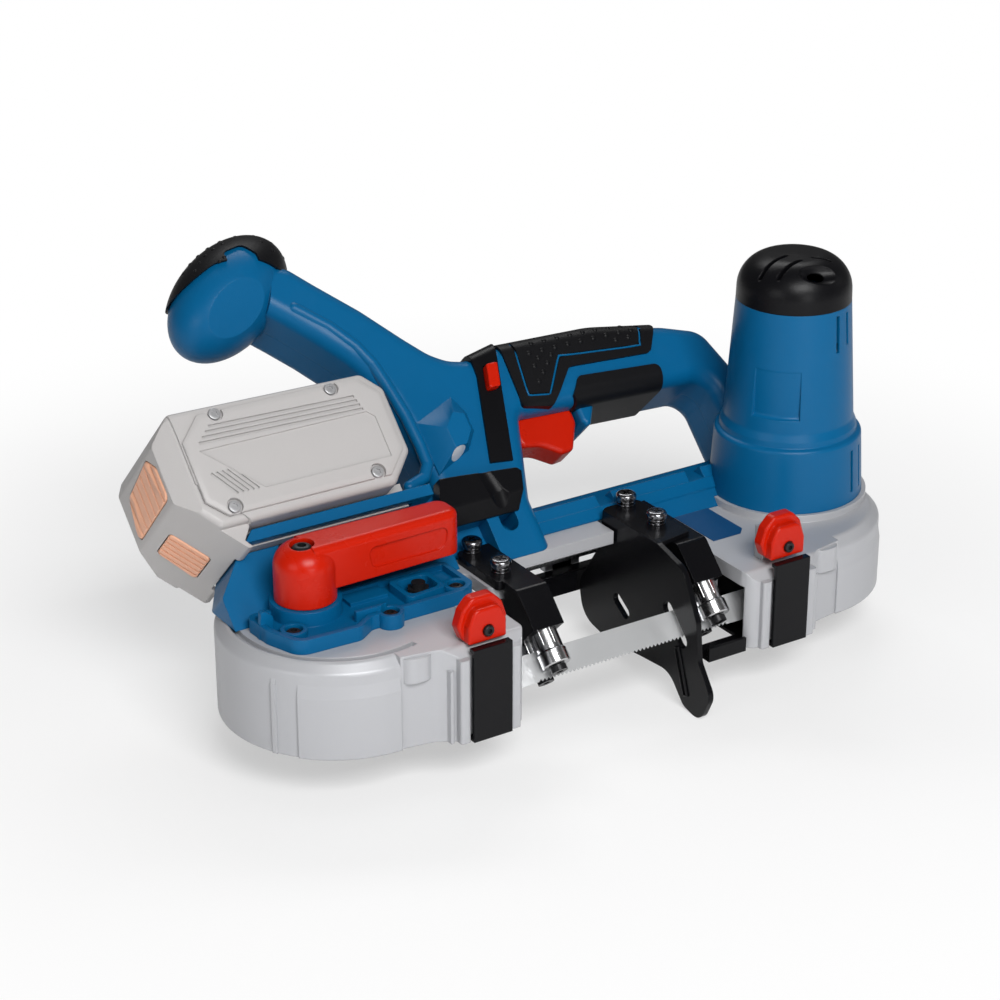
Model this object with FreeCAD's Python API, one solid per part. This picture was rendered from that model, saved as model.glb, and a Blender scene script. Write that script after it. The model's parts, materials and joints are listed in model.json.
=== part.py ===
import FreeCAD, Part
import math
import os

# Compact battery band saw. Millimetres. The wheels lie flat, the handle leans back
# by the blade's twist, so that pushing along the handle feeds the teeth.
# Working frame: X along the blade, Y away from the cut, Z along the wheel shafts,
# zero midway between the wheel axes on the underside of the cover.

# Band and wheels
WHEEL_SPAN = 225.3
WHEEL_R = 45.0
BLADE_W = 12.7
BLADE_T = 0.6
TOOTH_PITCH = 2.0
TOOTH_DEPTH = 1.1
BAND_Z = 15.0
TWIST = 45.0
TWIST_RUN = 48.0
TYRE_T = 2.2
RIM_W = 13.4
BAND_GAP = 0.3

# Guards, beam and cover
GUARD_GAP = 6.0
GUARD_WALL = 2.6
LEFT_TOP = 42.0
RIGHT_TOP = 36.0
DECK_T = 6.0
BEVEL = 4.2
LEFT_MOUTH = 56.15
RIGHT_MOUTH = 55.15
MOUTH_OUT = 7.9
COVER_T = 1.6
COVER_GAP = 0.8
STRAP_W = 18.4
STRAP_T = 1.6
STRAP_OUT = 3.8
STRAP_IN = 19.9
BEAM_FRONT = 30.0
BEAM_LEDGE = 0.0
BEAM_BACK = 34.0
BEAM_LOW = 26.0

# Motor tower and gears
GEAR_MODULE = 0.75
PINION_TEETH = 10
WHEEL_TEETH = 30
BACKLASH = 0.10
MOTOR_TURN = 20.0
SEAT_H = 3.4
TOWER_R = 33.4
NECK_R = 29.5
CAP_R = 25.9
SHOULDER_Z = 68.5
CAP_Z = 130.5
TOWER_TOP = 150.6
TOWER_WALL = 2.6
MOTOR_R = 24.5

# Guides and work stop
GUIDE_IN_LEFT = 18.5
GUIDE_IN_RIGHT = 12.7
EAR_IN_LEFT = 16.0
EAR_IN_RIGHT = 17.0
ROLLER_R = 6.4
BRACKET_W = 15.0
SCREW_BACK = 10.0
SCREW_FRONT = -13.0
STOP_IN = 29.5
STOP_T = 2.6

# Tension lever
POST_DX = -15.0
POST_R = 13.0
LEVER_Z = 52.4
LEVER_TOP = 77.0
LEVER_REACH = 55.65
LEVER_SHAFT_R = 7.6
CRANK = 5.0
CRANK_PIN_R = 2.3

# Handle, in its own leaning frame: x, side, height
HANDLE_Y = 27.0
GRIP_W = 38.0
GRIP_ROUND = 7.8
BODY_W = 38.0
RAIL_W = 20.0
SHELF_W = 32.0
LIP_W = 54.0
PIER_X = -3.4
OPEN_IN = 16.75
LEG_W = 17.0
OPEN_LOW = 2.0
OPEN_HIGH = 44.4
GRIP_TOP = 79.4
KNOB_X = -96.5
KNOB_H = 134.0
KNOB_LONG = 33.6
KNOB_DEEP = 24.0
KNOB_R = 21.0
KNOB_TILT = 34.0
BEAD_R = 2.7
TRIGGER_W = 15.0
TRIGGER_TRAVEL = 5.0
PAD_T = 1.2

# Battery pack, in the handle's frame
PACK_W = 72.0
PACK_LOW = 22.0
PACK_LEFT = -168.0
PACK_RIGHT = -60.5
PACK_PROUD = 0.6

# Fits
RUN = 0.05
SLIP = 0.4

V = FreeCAD.Vector
XL = -WHEEL_SPAN / 2
XR = WHEEL_SPAN / 2
GUARD_R = WHEEL_R + GUARD_GAP
LEFT_FACE = XL + LEFT_MOUTH
RIGHT_FACE = XR - RIGHT_MOUTH
FRONT_Y = -(GUARD_R + MOUTH_OUT)
STRAP_Y = FRONT_Y - STRAP_OUT
STRAP_X_LEFT = LEFT_FACE - STRAP_IN + 0.5
STRAP_X_RIGHT = RIGHT_FACE + STRAP_IN + 0.5
GUIDE_LEFT = LEFT_FACE + GUIDE_IN_LEFT
GUIDE_RIGHT = RIGHT_FACE - GUIDE_IN_RIGHT
EAR_LEFT = LEFT_FACE + EAR_IN_LEFT
EAR_RIGHT = RIGHT_FACE - EAR_IN_RIGHT
STOP_X = RIGHT_FACE - STOP_IN
LEVER_END = XL + LEVER_REACH
MESH = GEAR_MODULE * (PINION_TEETH + WHEEL_TEETH) / 2
XM = XR + MESH * math.cos(math.radians(MOTOR_TURN))
YM = MESH * math.sin(math.radians(MOTOR_TURN))
BASE_Z = RIGHT_TOP + SEAT_H
OPEN_RIGHT = XM - OPEN_IN
LEG_OUT = OPEN_RIGHT + LEG_W
POST_X = XL + POST_DX
POST_Y = -1.0
CUT = V(0, -math.sin(math.radians(TWIST)), -math.cos(math.radians(TWIST)))
FACE = V(0, -math.cos(math.radians(TWIST)), math.sin(math.radians(TWIST)))
BAND_IN = WHEEL_R
BAND_OUT = WHEEL_R + BLADE_T
STRAND_Y = -(WHEEL_R + BLADE_T / 2)
TYRE_R = WHEEL_R - BAND_GAP
RIM_R = TYRE_R - TYRE_T

parts = {}


def box(x0, x1, y0, y1, z0, z1):
    return Part.makeBox(x1 - x0, y1 - y0, z1 - z0, V(x0, y0, z0))


def rod(x, y, z0, z1, r):
    return Part.makeCylinder(r, z1 - z0, V(x, y, z0))


def bar(start, direction, r, length):
    return Part.makeCylinder(r, length, start, direction)


def tube(x, y, z0, z1, r, hole):
    return rod(x, y, z0, z1, r).cut(rod(x, y, z0 - 1, z1 + 1, hole))


def fuse(shapes):
    whole = shapes[0]
    if len(shapes) > 1:
        whole = whole.fuse(shapes[1:])
    return whole.removeSplitter()


def loop(points, at):
    # Closed outline of straight lines; a third number rounds that corner.
    ends = []
    n = len(points)
    for i in range(n):
        p = V(points[i][0], points[i][1], 0)
        r = points[i][2] if len(points[i]) > 2 else 0
        a = V(points[i - 1][0], points[i - 1][1], 0).sub(p).normalize()
        b = V(points[(i + 1) % n][0], points[(i + 1) % n][1], 0).sub(p).normalize()
        if r == 0:
            ends.append((p, p, p))
            continue
        half = a.getAngle(b) / 2
        mid = a.add(b).normalize()
        centre = p.add(mid * (r / math.sin(half)))
        t = r / math.tan(half)
        ends.append((p.add(a * t), centre.sub(mid * r), p.add(b * t)))
    edges = []
    for i in range(n):
        p, m, q = [at(e.x, e.y) for e in ends[i]]
        if p.distanceToPoint(q) > 1e-6:
            edges.append(Part.Arc(p, m, q).toShape())
        nxt = ends[(i + 1) % n][0]
        nxt = at(nxt.x, nxt.y)
        if q.distanceToPoint(nxt) > 1e-6:
            edges.append(Part.makeLine(q, nxt))
    return Part.Wire(edges)


def plan(points, z0, z1):
    return Part.Face(loop(points, lambda u, v: V(u, v, z0))).extrude(V(0, 0, z1 - z0))


def side(points, y0, y1):
    return Part.Face(loop(points, lambda u, v: V(u, y0, v))).extrude(V(0, y1 - y0, 0))


def cross(points, x0, x1):
    return Part.Face(loop(points, lambda u, v: V(x0, u, v))).extrude(V(x1 - x0, 0, 0))


def turned(points, x, y):
    # Solid of revolution about an upright axis from (radius, height) points.
    face = Part.Face(loop(points, lambda u, v: V(x + u, y, v)))
    return face.revolve(V(x, y, 0), V(0, 0, 1), 360)


def soften(shape, r, pick):
    return shape.makeFillet(r, [e for e in shape.Edges if pick(e)])


def level(e, z):
    return all(abs(v.Z - z) < 1e-4 for v in e.Vertexes) and abs(e.CenterOfMass.z - z) < 1e-4


def abreast(e, y):
    return all(abs(v.Y - y) < 1e-4 for v in e.Vertexes) and abs(e.CenterOfMass.y - y) < 1e-4


def level_free(e):
    # Leaves the hidden ends of the grip sharp.
    c = e.CenterOfMass
    return c.z > -33 and (c.x > -7 or c.z < 20) and c.x > -20 and not (c.x < 0 and 55 < c.z < 78)


def lean(shape):
    # From the handle's upright frame into the saw's frame.
    s = shape.copy()
    s.rotate(V(0, 0, 0), V(1, 0, 0), -TWIST)
    s.translate(V(0, HANDLE_Y, LEFT_TOP))
    return s


def section(x, w, turn, tall, wide, r):
    # Rounded rectangle square to a path through (x, w) that runs at an angle in the handle's plane.
    t = math.radians(turn)
    up = V(-math.sin(t), 0, math.cos(t))
    mid = V(x, 0, w)
    a = wide / 2
    b = tall / 2
    pts = [(-a, -b, r), (a, -b, r), (a, b, r), (-a, b, r)]
    return loop(pts, lambda u, v: mid.add(V(0, u, 0)).add(up * v))


def screw(x, y, z, r, head_r, head_h, depth):
    # Pan head above z with its shank below.
    head = turned([(0, z), (head_r, z), (head_r, z + head_h, head_h * 0.7), (0, z + head_h)], x, y)
    socket = rod(x, y, z + head_h * 0.45, z + head_h + 1, head_r * 0.42)
    return head.fuse(rod(x, y, z - depth, z, r)).removeSplitter().cut(socket)


def ring_of(shape, x, y, count, first=0.0):
    out = []
    for i in range(count):
        s = shape.copy()
        s.rotate(V(x, y, 0), V(0, 0, 1), first + 360.0 * i / count)
        out.append(s)
    return out


def gear(teeth, x, y, z0, z1, bore, phase):
    pitch = GEAR_MODULE * teeth / 2
    tip = pitch + GEAR_MODULE
    root = pitch - 1.25 * GEAR_MODULE
    half = math.pi / 2 / teeth - BACKLASH / pitch
    pts = []
    for i in range(teeth):
        a = math.radians(phase) + 2 * math.pi * i / teeth
        for r, k in ((root, -1.5), (tip, -0.45), (tip, 0.45), (root, 1.5)):
            pts.append((x + r * math.cos(a + k * half), y + r * math.sin(a + k * half)))
    return plan(pts, z0, z1).cut(rod(x, y, z0 - 1, z1 + 1, bore))


def part_turned(points, x, first, sweep):
    # Part of a ring about a wheel's axis.
    face = Part.Face(loop(points, lambda u, v: V(x + u, 0, v)))
    s = face.revolve(V(x, 0, 0), V(0, 0, 1), sweep)
    s.rotate(V(x, 0, 0), V(0, 0, 1), first)
    return s


def outline(xc, s, face, w):
    # Plan of a guard's front and cut side, set in by w; s is the direction from the wheel to the cut.
    pts = [(xc, GUARD_R - w), (face - s * w, GUARD_R - w, 3), (face - s * w, FRONT_Y + w, 7 - w * 0.7),
           (face - s * (32 - w * 0.4), FRONT_Y + w, 5), (face - s * (41 - w * 0.4), -GUARD_R - 2.4 + w, 9), (xc, -GUARD_R + w)]
    return pts if s > 0 else pts[::-1]


# Guards: two flat drums over the wheels, open below and towards the cut
def guard(xc, s, face, top, reach, strap, strap_top):
    w = GUARD_WALL
    rim = [(GUARD_R, 0), (GUARD_R, top - BEVEL, 2.5), (GUARD_R - BEVEL, top, 2.5)]
    drum = turned([(0, 0)] + rim + [(0, top)], xc, 0)
    across = cross(rim + [(FRONT_Y + BEVEL, top, 2.5), (FRONT_Y, top - BEVEL, 2.5), (FRONT_Y, 0)], min(xc, face), max(xc, face))
    solid = fuse([drum, plan(outline(xc, s, face, 0), 0, top).common(across)])
    hollow = fuse([rod(xc, 0, -1, top - DECK_T, GUARD_R - w), plan(outline(xc, s, face, w), -1, top - DECK_T)])
    solid = solid.cut(hollow)
    near = min(face - s * 6, face + s)
    far = max(face - s * 6, face + s)
    mouth = box(near, far, STRAND_Y - 9.2, STRAND_Y + 12.3, -1, reach)
    back = box(near, far, GUARD_R - 13, GUARD_R - w, -1, 27)
    # Raised panel with a sloping top, and a pilaster, round the drum
    deep = GUARD_R - 1.5
    extra = []
    for a0, a1, dr, high, slope in ((222, 270, 0.9, 14.5, 8), (209, 211.5, 0.8, 10, 3), (276, 279, 0.8, 10, 3)):
        first = a0 if s > 0 else 540 - a1
        extra.append(part_turned([(deep, 0), (GUARD_R + dr, 0), (GUARD_R + dr, top - high), (GUARD_R - 0.4, top - high + slope),
                                  (deep, top - high + slope)], xc, first, a1 - a0))
    # Tongue on the rim and cheeks beside the strap
    tip = [(xc + s * 1, -42), (xc + s * 1, -GUARD_R - 3.5, 5), (xc + s * 14.5, -GUARD_R - 3.5, 5), (xc + s * 14.5, -42)]
    extra.append(plan(tip if s > 0 else tip[::-1], top - 12, top - 1))
    for dx in (-14.5, 9.8):
        cheek = plan([(strap + dx, FRONT_Y + 2), (strap + dx, FRONT_Y - 2.6, 1.2), (strap + dx + 4.7, FRONT_Y - 2.6, 1.2),
                      (strap + dx + 4.7, FRONT_Y + 2)], 0, min(top, strap_top) - 4)
        extra.append(cheek)
    extra.append(box(strap - s * 17 - 0.8, strap - s * 17 + 0.8, FRONT_Y + 0.4, FRONT_Y + 6, 0, top - 9))
    solid = solid.fuse([e.cut(hollow) for e in extra]).removeSplitter()
    half = STRAP_W / 2 + 0.6
    slot = box(strap - half, strap + half, FRONT_Y - 6, FRONT_Y + w + 1, -1, COVER_T + 0.5)
    return solid.cut(mouth).cut(back).cut(slot)


STRAPS = ((STRAP_X_LEFT, LEFT_TOP), (STRAP_X_RIGHT, LEFT_TOP - 2.5))
guard_left = guard(XL, 1, LEFT_FACE, LEFT_TOP, 30, STRAPS[0][0], STRAPS[0][1])
guard_left = guard_left.cut(rod(POST_X, POST_Y, 20, 50, LEVER_SHAFT_R + SLIP))
gutter = [(GUARD_R - 7.8, LEFT_TOP + 1), (GUARD_R - 7.8, LEFT_TOP - 2.4, 0.8), (GUARD_R - 5.0, LEFT_TOP - 2.4, 0.8),
          (GUARD_R - 5.0, LEFT_TOP + 1)]
guard_left = guard_left.cut(part_turned(gutter, XL, 120, 165))
guard_right = guard(XR, -1, RIGHT_FACE, RIGHT_TOP, 29, STRAPS[1][0], STRAPS[1][1])
guard_right = fuse([guard_right, rod(XM, YM, RIGHT_TOP - 1, BASE_Z, TOWER_R + 3.6)])
BEARING_R = 9.5
guard_right = guard_right.cut(rod(XR, 0, 20, 50, BEARING_R))

# Beam: joins the guards behind the cut and carries the guide brackets
ledge = plan([(LEFT_FACE, BEAM_BACK), (LEFT_FACE, BEAM_LEDGE), (EAR_LEFT - 9, BEAM_LEDGE, 3),
              (EAR_LEFT - 9, -19, 3), (EAR_LEFT + 9, -19, 3), (EAR_LEFT + 9, BEAM_LEDGE, 4),
              (EAR_RIGHT - 9, BEAM_LEDGE, 4), (EAR_RIGHT - 9, -19, 3), (EAR_RIGHT + 9, -19, 3),
              (EAR_RIGHT + 9, BEAM_LEDGE, 3), (RIGHT_FACE, BEAM_LEDGE), (RIGHT_FACE, BEAM_BACK)],
             LEFT_TOP - DECK_T, LEFT_TOP)
front_wall = box(LEFT_FACE, RIGHT_FACE, BEAM_FRONT, BEAM_FRONT + 3, 22, LEFT_TOP - DECK_T)
low_deck = box(LEFT_FACE, RIGHT_FACE, BEAM_FRONT, GUARD_R, BEAM_LOW, BEAM_LOW + 4)
back_wall = box(LEFT_FACE, RIGHT_FACE, GUARD_R - 3, GUARD_R, 6.0, BEAM_LOW + 1)
ribs = []
RIB_STEP = (RIGHT_FACE - LEFT_FACE - 34) / 4
for i in range(5):
    x = LEFT_FACE + 16.5 + RIB_STEP * i
    ribs.append(cross([(BEAM_LEDGE + 3, LEFT_TOP - DECK_T), (BEAM_FRONT, 24), (BEAM_FRONT, LEFT_TOP - DECK_T)],
                      x - 1.2, x + 1.2))
    ribs.append(cross([(BEAM_FRONT + 2, BEAM_LOW + 3), (GUARD_R - 3, BEAM_LOW + 3), (BEAM_BACK, LEFT_TOP - 1),
                       (BEAM_FRONT + 2, LEFT_TOP - 1)], x - 1.2, x + 1.2))
beam = fuse([ledge, front_wall, low_deck, back_wall] + ribs)
HINGE_Y = GUARD_R + 3.0
HINGE_Z = 2.6
PIN_R = 1.2
lugs = []
pins = []
knuckles = []
for x in (LEFT_FACE + 21.5, RIGHT_FACE - 22.5):
    for dx in (-9.4, 5.4):
        lug = cross([(GUARD_R, 6), (GUARD_R, 12), (HINGE_Y + 2.4, 4), (HINGE_Y + 2.4, 0.8, 1), (HINGE_Y - 2.4, 0.8, 1),
                     (HINGE_Y - 2.4, 6)], x + dx, x + dx + 4)
        lugs.append(lug.cut(bar(V(x - 12, HINGE_Y, HINGE_Z), V(1, 0, 0), PIN_R, 24)))
    pins.append(bar(V(x - 9.4, HINGE_Y, HINGE_Z), V(1, 0, 0), PIN_R, 18.8))
    roll = bar(V(x - 5, HINGE_Y, HINGE_Z), V(1, 0, 0), 2.2, 10)
    knuckles.append((roll, bar(V(x - 6, HINGE_Y, HINGE_Z), V(1, 0, 0), PIN_R + RUN, 12), x))
beam = fuse([beam] + lugs)
parts["cover_hinge_pins"] = Part.makeCompound(pins)

# Cover: sheet inside the guards' walls with two upturned straps and a short blade channel
flat = []
set_in = GUARD_WALL + COVER_GAP
for xc, face, s in ((XL, LEFT_FACE, 1), (XR, RIGHT_FACE, -1)):
    flat.append(rod(xc, 0, 0, COVER_T, GUARD_R - set_in))
    flat.append(plan(outline(xc, s, face, set_in), 0, COVER_T))
    flat.append(box(min(face - s * 8, face + s * 3), max(face - s * 8, face + s * 3), GUARD_R - 12.4, GUARD_R - set_in, 0, COVER_T))
mid_x = (LEFT_FACE + 0.5, RIGHT_FACE - 0.5)
flat.append(box(mid_x[0], mid_x[1], BEAM_FRONT, GUARD_R, 0, COVER_T))
flat.append(box(mid_x[0], mid_x[1], BEAM_FRONT, BEAM_FRONT + COVER_T, 0, 10))
for x, top in STRAPS:
    half = STRAP_W / 2
    flat.append(box(x - half, x + half, STRAP_Y, FRONT_Y + GUARD_WALL + 3, 0, COVER_T))
    flat.append(box(x - half, x + half, STRAP_Y, STRAP_Y + STRAP_T, 0, top))
    flat.append(box(x - half, x + half, STRAP_Y, FRONT_Y - SLIP, top - STRAP_T, top))
flat.append(cross([(FRONT_Y + 0.3, 0), (FRONT_Y + 0.3, 6.5), (FRONT_Y + 1.9, 6.5), (FRONT_Y + 1.9, COVER_T),
                   (STRAND_Y - 0.7, COVER_T), (STRAND_Y - 0.7, 0)], RIGHT_FACE - 20.5, RIGHT_FACE - 0.5))
flat.append(box(RIGHT_FACE - 6, RIGHT_FACE + 8, STRAND_Y - 8.4, STRAND_Y - 0.7, 0, COVER_T))
for roll, bore, x in knuckles:
    flat.append(roll)
    flat.append(box(x - 5, x + 5, GUARD_R - 2, HINGE_Y, 0, COVER_T))
cover = fuse(flat)
for roll, bore, x in knuckles:
    cover = cover.cut(bore)
parts["wheel_cover"] = cover.removeSplitter()

# Latch knobs: stand on the straps' folded ends and lift on a tongue to free them
LATCH_Y = STRAP_Y + 4.0
LATCH_BACK = LATCH_Y + 9.0
posts = []
for name, (x, top), deck in (("latch_left", STRAPS[0], LEFT_TOP), ("latch_right", STRAPS[1], RIGHT_TOP)):
    z0 = top + SLIP
    front = side([(x - 9, z0, 1), (x + 9, z0, 1), (x + 9, z0 + 8, 3), (x + 6, z0 + 15, 4), (x - 6, z0 + 15, 4),
                  (x - 9, z0 + 8, 3)], LATCH_Y, LATCH_BACK)
    front = soften(front, 1.2, lambda e: abreast(e, LATCH_Y))
    body = side([(x - 9.5, z0 + 1), (x + 9.5, z0 + 1), (x + 11.8, z0 + 7, 3), (x + 9.5, z0 + 14, 3), (x + 5, z0 + 18.6, 4),
                 (x - 5, z0 + 18.6, 4), (x - 9.5, z0 + 14, 3), (x - 11.8, z0 + 7, 3)], LATCH_Y + 4, LATCH_BACK)
    body = soften(body, 1.2, lambda e: abreast(e, LATCH_Y + 4))
    tongue = box(x - 3, x + 3, LATCH_BACK - 1, LATCH_BACK + 4, z0 + 3, z0 + 9)
    knob = fuse([front, body, tongue])
    parts[name] = knob.cut(bar(V(x, LATCH_Y - 1, z0 + 5), V(0, 1, 0), 2.6, 3.4))
    post = box(x - 6.4, x + 6.4, LATCH_BACK + SLIP, LATCH_BACK + 6.4, deck - 1, z0 + 11)
    groove = box(x - 3 - SLIP, x + 3 + SLIP, LATCH_BACK, LATCH_BACK + 4 + SLIP, z0 + 3 - SLIP, z0 + 30)
    posts.append(post.cut(groove))
guard_left = fuse([guard_left, posts[0]])
guard_right = fuse([guard_right, posts[1]])

# Wheels
def wheel(x, hub_r, bore):
    z0 = BAND_Z - RIM_W / 2
    z1 = BAND_Z + RIM_W / 2
    pts = [(bore, z0 + 1), (hub_r, z0 + 1), (hub_r + 2, z0 + 4.5), (RIM_R - 5, z0 + 4.5), (RIM_R - 3.5, z0),
           (RIM_R, z0), (RIM_R, z1), (RIM_R - 3.5, z1), (RIM_R - 5, z1 - 4.5), (hub_r + 2, z1 - 4.5), (hub_r, z1 - 1),
           (bore, z1 - 1)]
    disc = turned(pts, x, 0)
    web = RIM_R - 5 - hub_r - 2
    for hole in ring_of(rod(x + hub_r + 2 + web / 2, 0, 0, 40, web * 0.31), x, 0, 6):
        disc = disc.cut(hole)
    tyre = tube(x, 0, z0, z1, TYRE_R, RIM_R)
    return disc, tyre


IDLER_HUB = 13.0
IDLER_BEARING = 9.5
AXLE_R = 5.0
idler, idler_tyre = wheel(XL, IDLER_HUB, IDLER_BEARING)
parts["idler_wheel"] = idler
parts["idler_tyre"] = idler_tyre
z_low = BAND_Z - RIM_W / 2 + 1
z_high = BAND_Z + RIM_W / 2 - 1
parts["idler_bearing"] = tube(XL, 0, z_low, z_high, IDLER_BEARING, AXLE_R + RUN)
DRIVE_SHAFT_R = 6.0
drive, drive_tyre = wheel(XR, IDLER_HUB, DRIVE_SHAFT_R)
parts["drive_wheel"] = drive
parts["drive_tyre"] = drive_tyre

# Tension slide, axle, spring seat and lever
SLIDE_Z = LEFT_TOP - DECK_T - SLIP
SLIDE_T = 6.0
slide = box(POST_X - 16, XL + 16, -13, 13, SLIDE_Z - SLIDE_T, SLIDE_Z)
crank_y = POST_Y + CRANK
slot = [(POST_X - CRANK_PIN_R - 0.25, crank_y - 5.2, 2), (POST_X + CRANK_PIN_R + 0.25, crank_y - 5.2, 2),
        (POST_X + CRANK_PIN_R + 0.25, crank_y + 4, 2), (POST_X - CRANK_PIN_R - 0.25, crank_y + 4, 2)]
slide = slide.cut(plan(slot, 0, 60))
slide = slide.cut(rod(XL, 0, 0, 60, AXLE_R))
parts["tension_slide"] = slide
axle = fuse([rod(XL, 0, z_low - 2.4, SLIDE_Z, AXLE_R), rod(XL, 0, z_high + 0.3, SLIDE_Z - SLIDE_T, AXLE_R + 2.5)])
parts["idler_axle"] = axle
parts["axle_clip"] = tube(XL, 0, z_low - 2.0, z_low - 0.6, AXLE_R + 3, AXLE_R)
guides = []
for y in (-13 - SLIP - 4, 13 + SLIP):
    guides.append(box(POST_X - 22, XL + 30, y, y + 4, SLIDE_Z - SLIDE_T - 2.5, LEFT_TOP - DECK_T))
    inner = -13 - SLIP if y < 0 else 13 + SLIP
    guides.append(box(POST_X - 22, XL + 30, min(inner, inner - math.copysign(3, y)), max(inner, inner - math.copysign(3, y)),
                      SLIDE_Z - SLIDE_T - 2.5, SLIDE_Z - SLIDE_T - SLIP))
stop_wall = box(XL + 26, XL + 30, -13 - SLIP, 13 + SLIP, SLIDE_Z - SLIDE_T - 2.5, LEFT_TOP - DECK_T)
guard_left = fuse([guard_left] + guides + [stop_wall])

lever_post = turned([(0, LEVER_Z), (POST_R, LEVER_Z), (POST_R, LEVER_TOP, 10), (0, LEVER_TOP)], POST_X, POST_Y)
lever_arm = plan([(POST_X, POST_Y - 9.5), (LEVER_END, POST_Y - 8, 6), (LEVER_END, POST_Y + 8, 6), (POST_X, POST_Y + 9.5)],
                 LEVER_Z + 5, LEVER_TOP)
lever_arm = soften(lever_arm, 3.5, lambda e: level(e, LEVER_TOP) and e.CenterOfMass.x > POST_X + 1)
lever = fuse([lever_post, lever_arm])
panel = side([(POST_X + 27, LEVER_Z + 9, 3), (LEVER_END - 8, LEVER_Z + 9, 5), (LEVER_END - 7, LEVER_TOP - 6, 3),
              (POST_X + 25, LEVER_TOP - 6, 3)], POST_Y - 12, POST_Y - 7.6)
lever = lever.cut(panel)
seat = V(POST_X - 1.5, POST_Y - 1, LEVER_TOP - 4)
lever = lever.cut(rod(seat.x, seat.y, seat.z, seat.z + 20, 5.2)).cut(rod(seat.x, seat.y, LEVER_Z + 4, LEVER_TOP, 2.0))
shaft = fuse([rod(POST_X, POST_Y, LEFT_TOP - DECK_T, LEVER_Z + 1, LEVER_SHAFT_R),
              rod(POST_X, POST_Y + CRANK, SLIDE_Z - SLIDE_T, LEFT_TOP - DECK_T + 1, CRANK_PIN_R)])
lever = fuse([lever, shaft])
parts["tension_lever"] = lever
parts["lever_screw"] = screw(seat.x, seat.y, seat.z, 2.0, 4.6, 3.4, 14)

# Tension plate on the left guard
plate_pts = [(XL - 40.35, 3.4, 3), (XL - 39.35, -12, 8), (XL - 33.35, -29, 8), (XL - 5.35, -30, 5), (XL + 2.65, -24.5, 4),
             (XL + 46.65, -24.5, 3), (XL + 54.15, -20, 4), (XL + 54.15, 3.4, 2)]
inset = [(XL - 37.95, 1.2, 2), (XL - 36.95, -12, 6), (XL - 31.55, -26.6, 6), (XL - 6.0, -27.6, 4), (XL + 2.0, -22.1, 4),
         (XL + 45.65, -22.1, 2), (XL + 51.75, -19, 3), (XL + 51.75, 1.2, 1)]
PLATE_Z = LEFT_TOP
plate = plan(plate_pts, PLATE_Z, PLATE_Z + 3.6)
rim = plan(plate_pts, PLATE_Z, PLATE_Z + 6.4)
rim = rim.cut(plan(inset, PLATE_Z - 1, PLATE_Z + 10))
bosses = []
PLATE_SCREWS = ((XL - 29.35, -17.0), (XL + 11.65, -24.0), (XL + 47.15, -17.5))
for x, y in PLATE_SCREWS:
    bosses.append(rod(x, y, PLATE_Z, PLATE_Z + 6.4, 5.6))
bosses.append(rod(POST_X, POST_Y, PLATE_Z, LEVER_Z - SLIP, POST_R + 2))
bosses.append(plan([(XL + 22.65, -20.6, 3), (XL + 42.15, -18.6, 3), (XL + 42.15, -2, 3), (XL + 22.65, -2, 3)], PLATE_Z, PLATE_Z + 7.4))
# Fin at the left end, rib from the post's foot and a step behind the lever
bosses.append(side([(XL - 40, PLATE_Z), (XL - 33.5, PLATE_Z), (XL - 33.5, PLATE_Z + 9, 2), (XL - 37, PLATE_Z + 12, 2), (XL - 39, PLATE_Z + 12, 1)],
                   -7.5, -5.2))
bosses.append(box(POST_X + 12, POST_X + 27, -21.5, -19.7, PLATE_Z, PLATE_Z + 8.4))
bosses.append(box(XL + 2, XL + 20, -8, 2, PLATE_Z, PLATE_Z + 5.2))
plate = fuse([plate, rim] + bosses)
plate = plate.cut(rod(POST_X, POST_Y, 0, 80, LEVER_SHAFT_R + SLIP))
NUT = (XL + 32.45, -11.4)
plate = plate.cut(plan([(NUT[0] - 7.4, -18, 3), (NUT[0] + 7.4, -16.4, 3), (NUT[0] + 7.4, -4.4, 3), (NUT[0] - 7.4, -4.4, 3)],
                       PLATE_Z + 2, PLATE_Z + 9))
plate = plate.cut(rod(NUT[0], NUT[1], 0, 80, 3.0))
for x, y in PLATE_SCREWS:
    plate = plate.cut(rod(x, y, PLATE_Z + 3.4, 80, 3.8)).cut(rod(x, y, 0, 80, 1.8))
    guard_left = guard_left.cut(rod(x, y, LEFT_TOP - 5, 80, 1.8))
guard_left = guard_left.cut(rod(NUT[0], NUT[1], LEFT_TOP - 5, 80, 3.0))
parts["tension_plate"] = plate
parts["plate_screws"] = Part.makeCompound([screw(x, y, PLATE_Z + 3.4, 1.8, 3.4, 2.4, 7.4) for x, y in PLATE_SCREWS])
hexagon = [(NUT[0] + 5.0 * math.cos(math.pi * i / 3), NUT[1] + 5.0 * math.sin(math.pi * i / 3)) for i in range(6)]
nut = plan(hexagon, PLATE_Z + 2, PLATE_Z + 6.2).fuse(rod(NUT[0], NUT[1], LEFT_TOP - 5, PLATE_Z + 8.6, 3.0))
parts["tracking_bolt"] = nut.removeSplitter()

# Guide brackets, rollers and their screws
MID = V(0, STRAND_Y, BAND_Z)


def on_blade(x, c, n):
    # Point c along the teeth's direction and n off the blade's face.
    return V(x, 0, 0).add(MID).add(CUT * c).add(FACE * n)


def blade_yz(c, n):
    p = on_blade(0, c, n)
    return (p.y, p.z)


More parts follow.
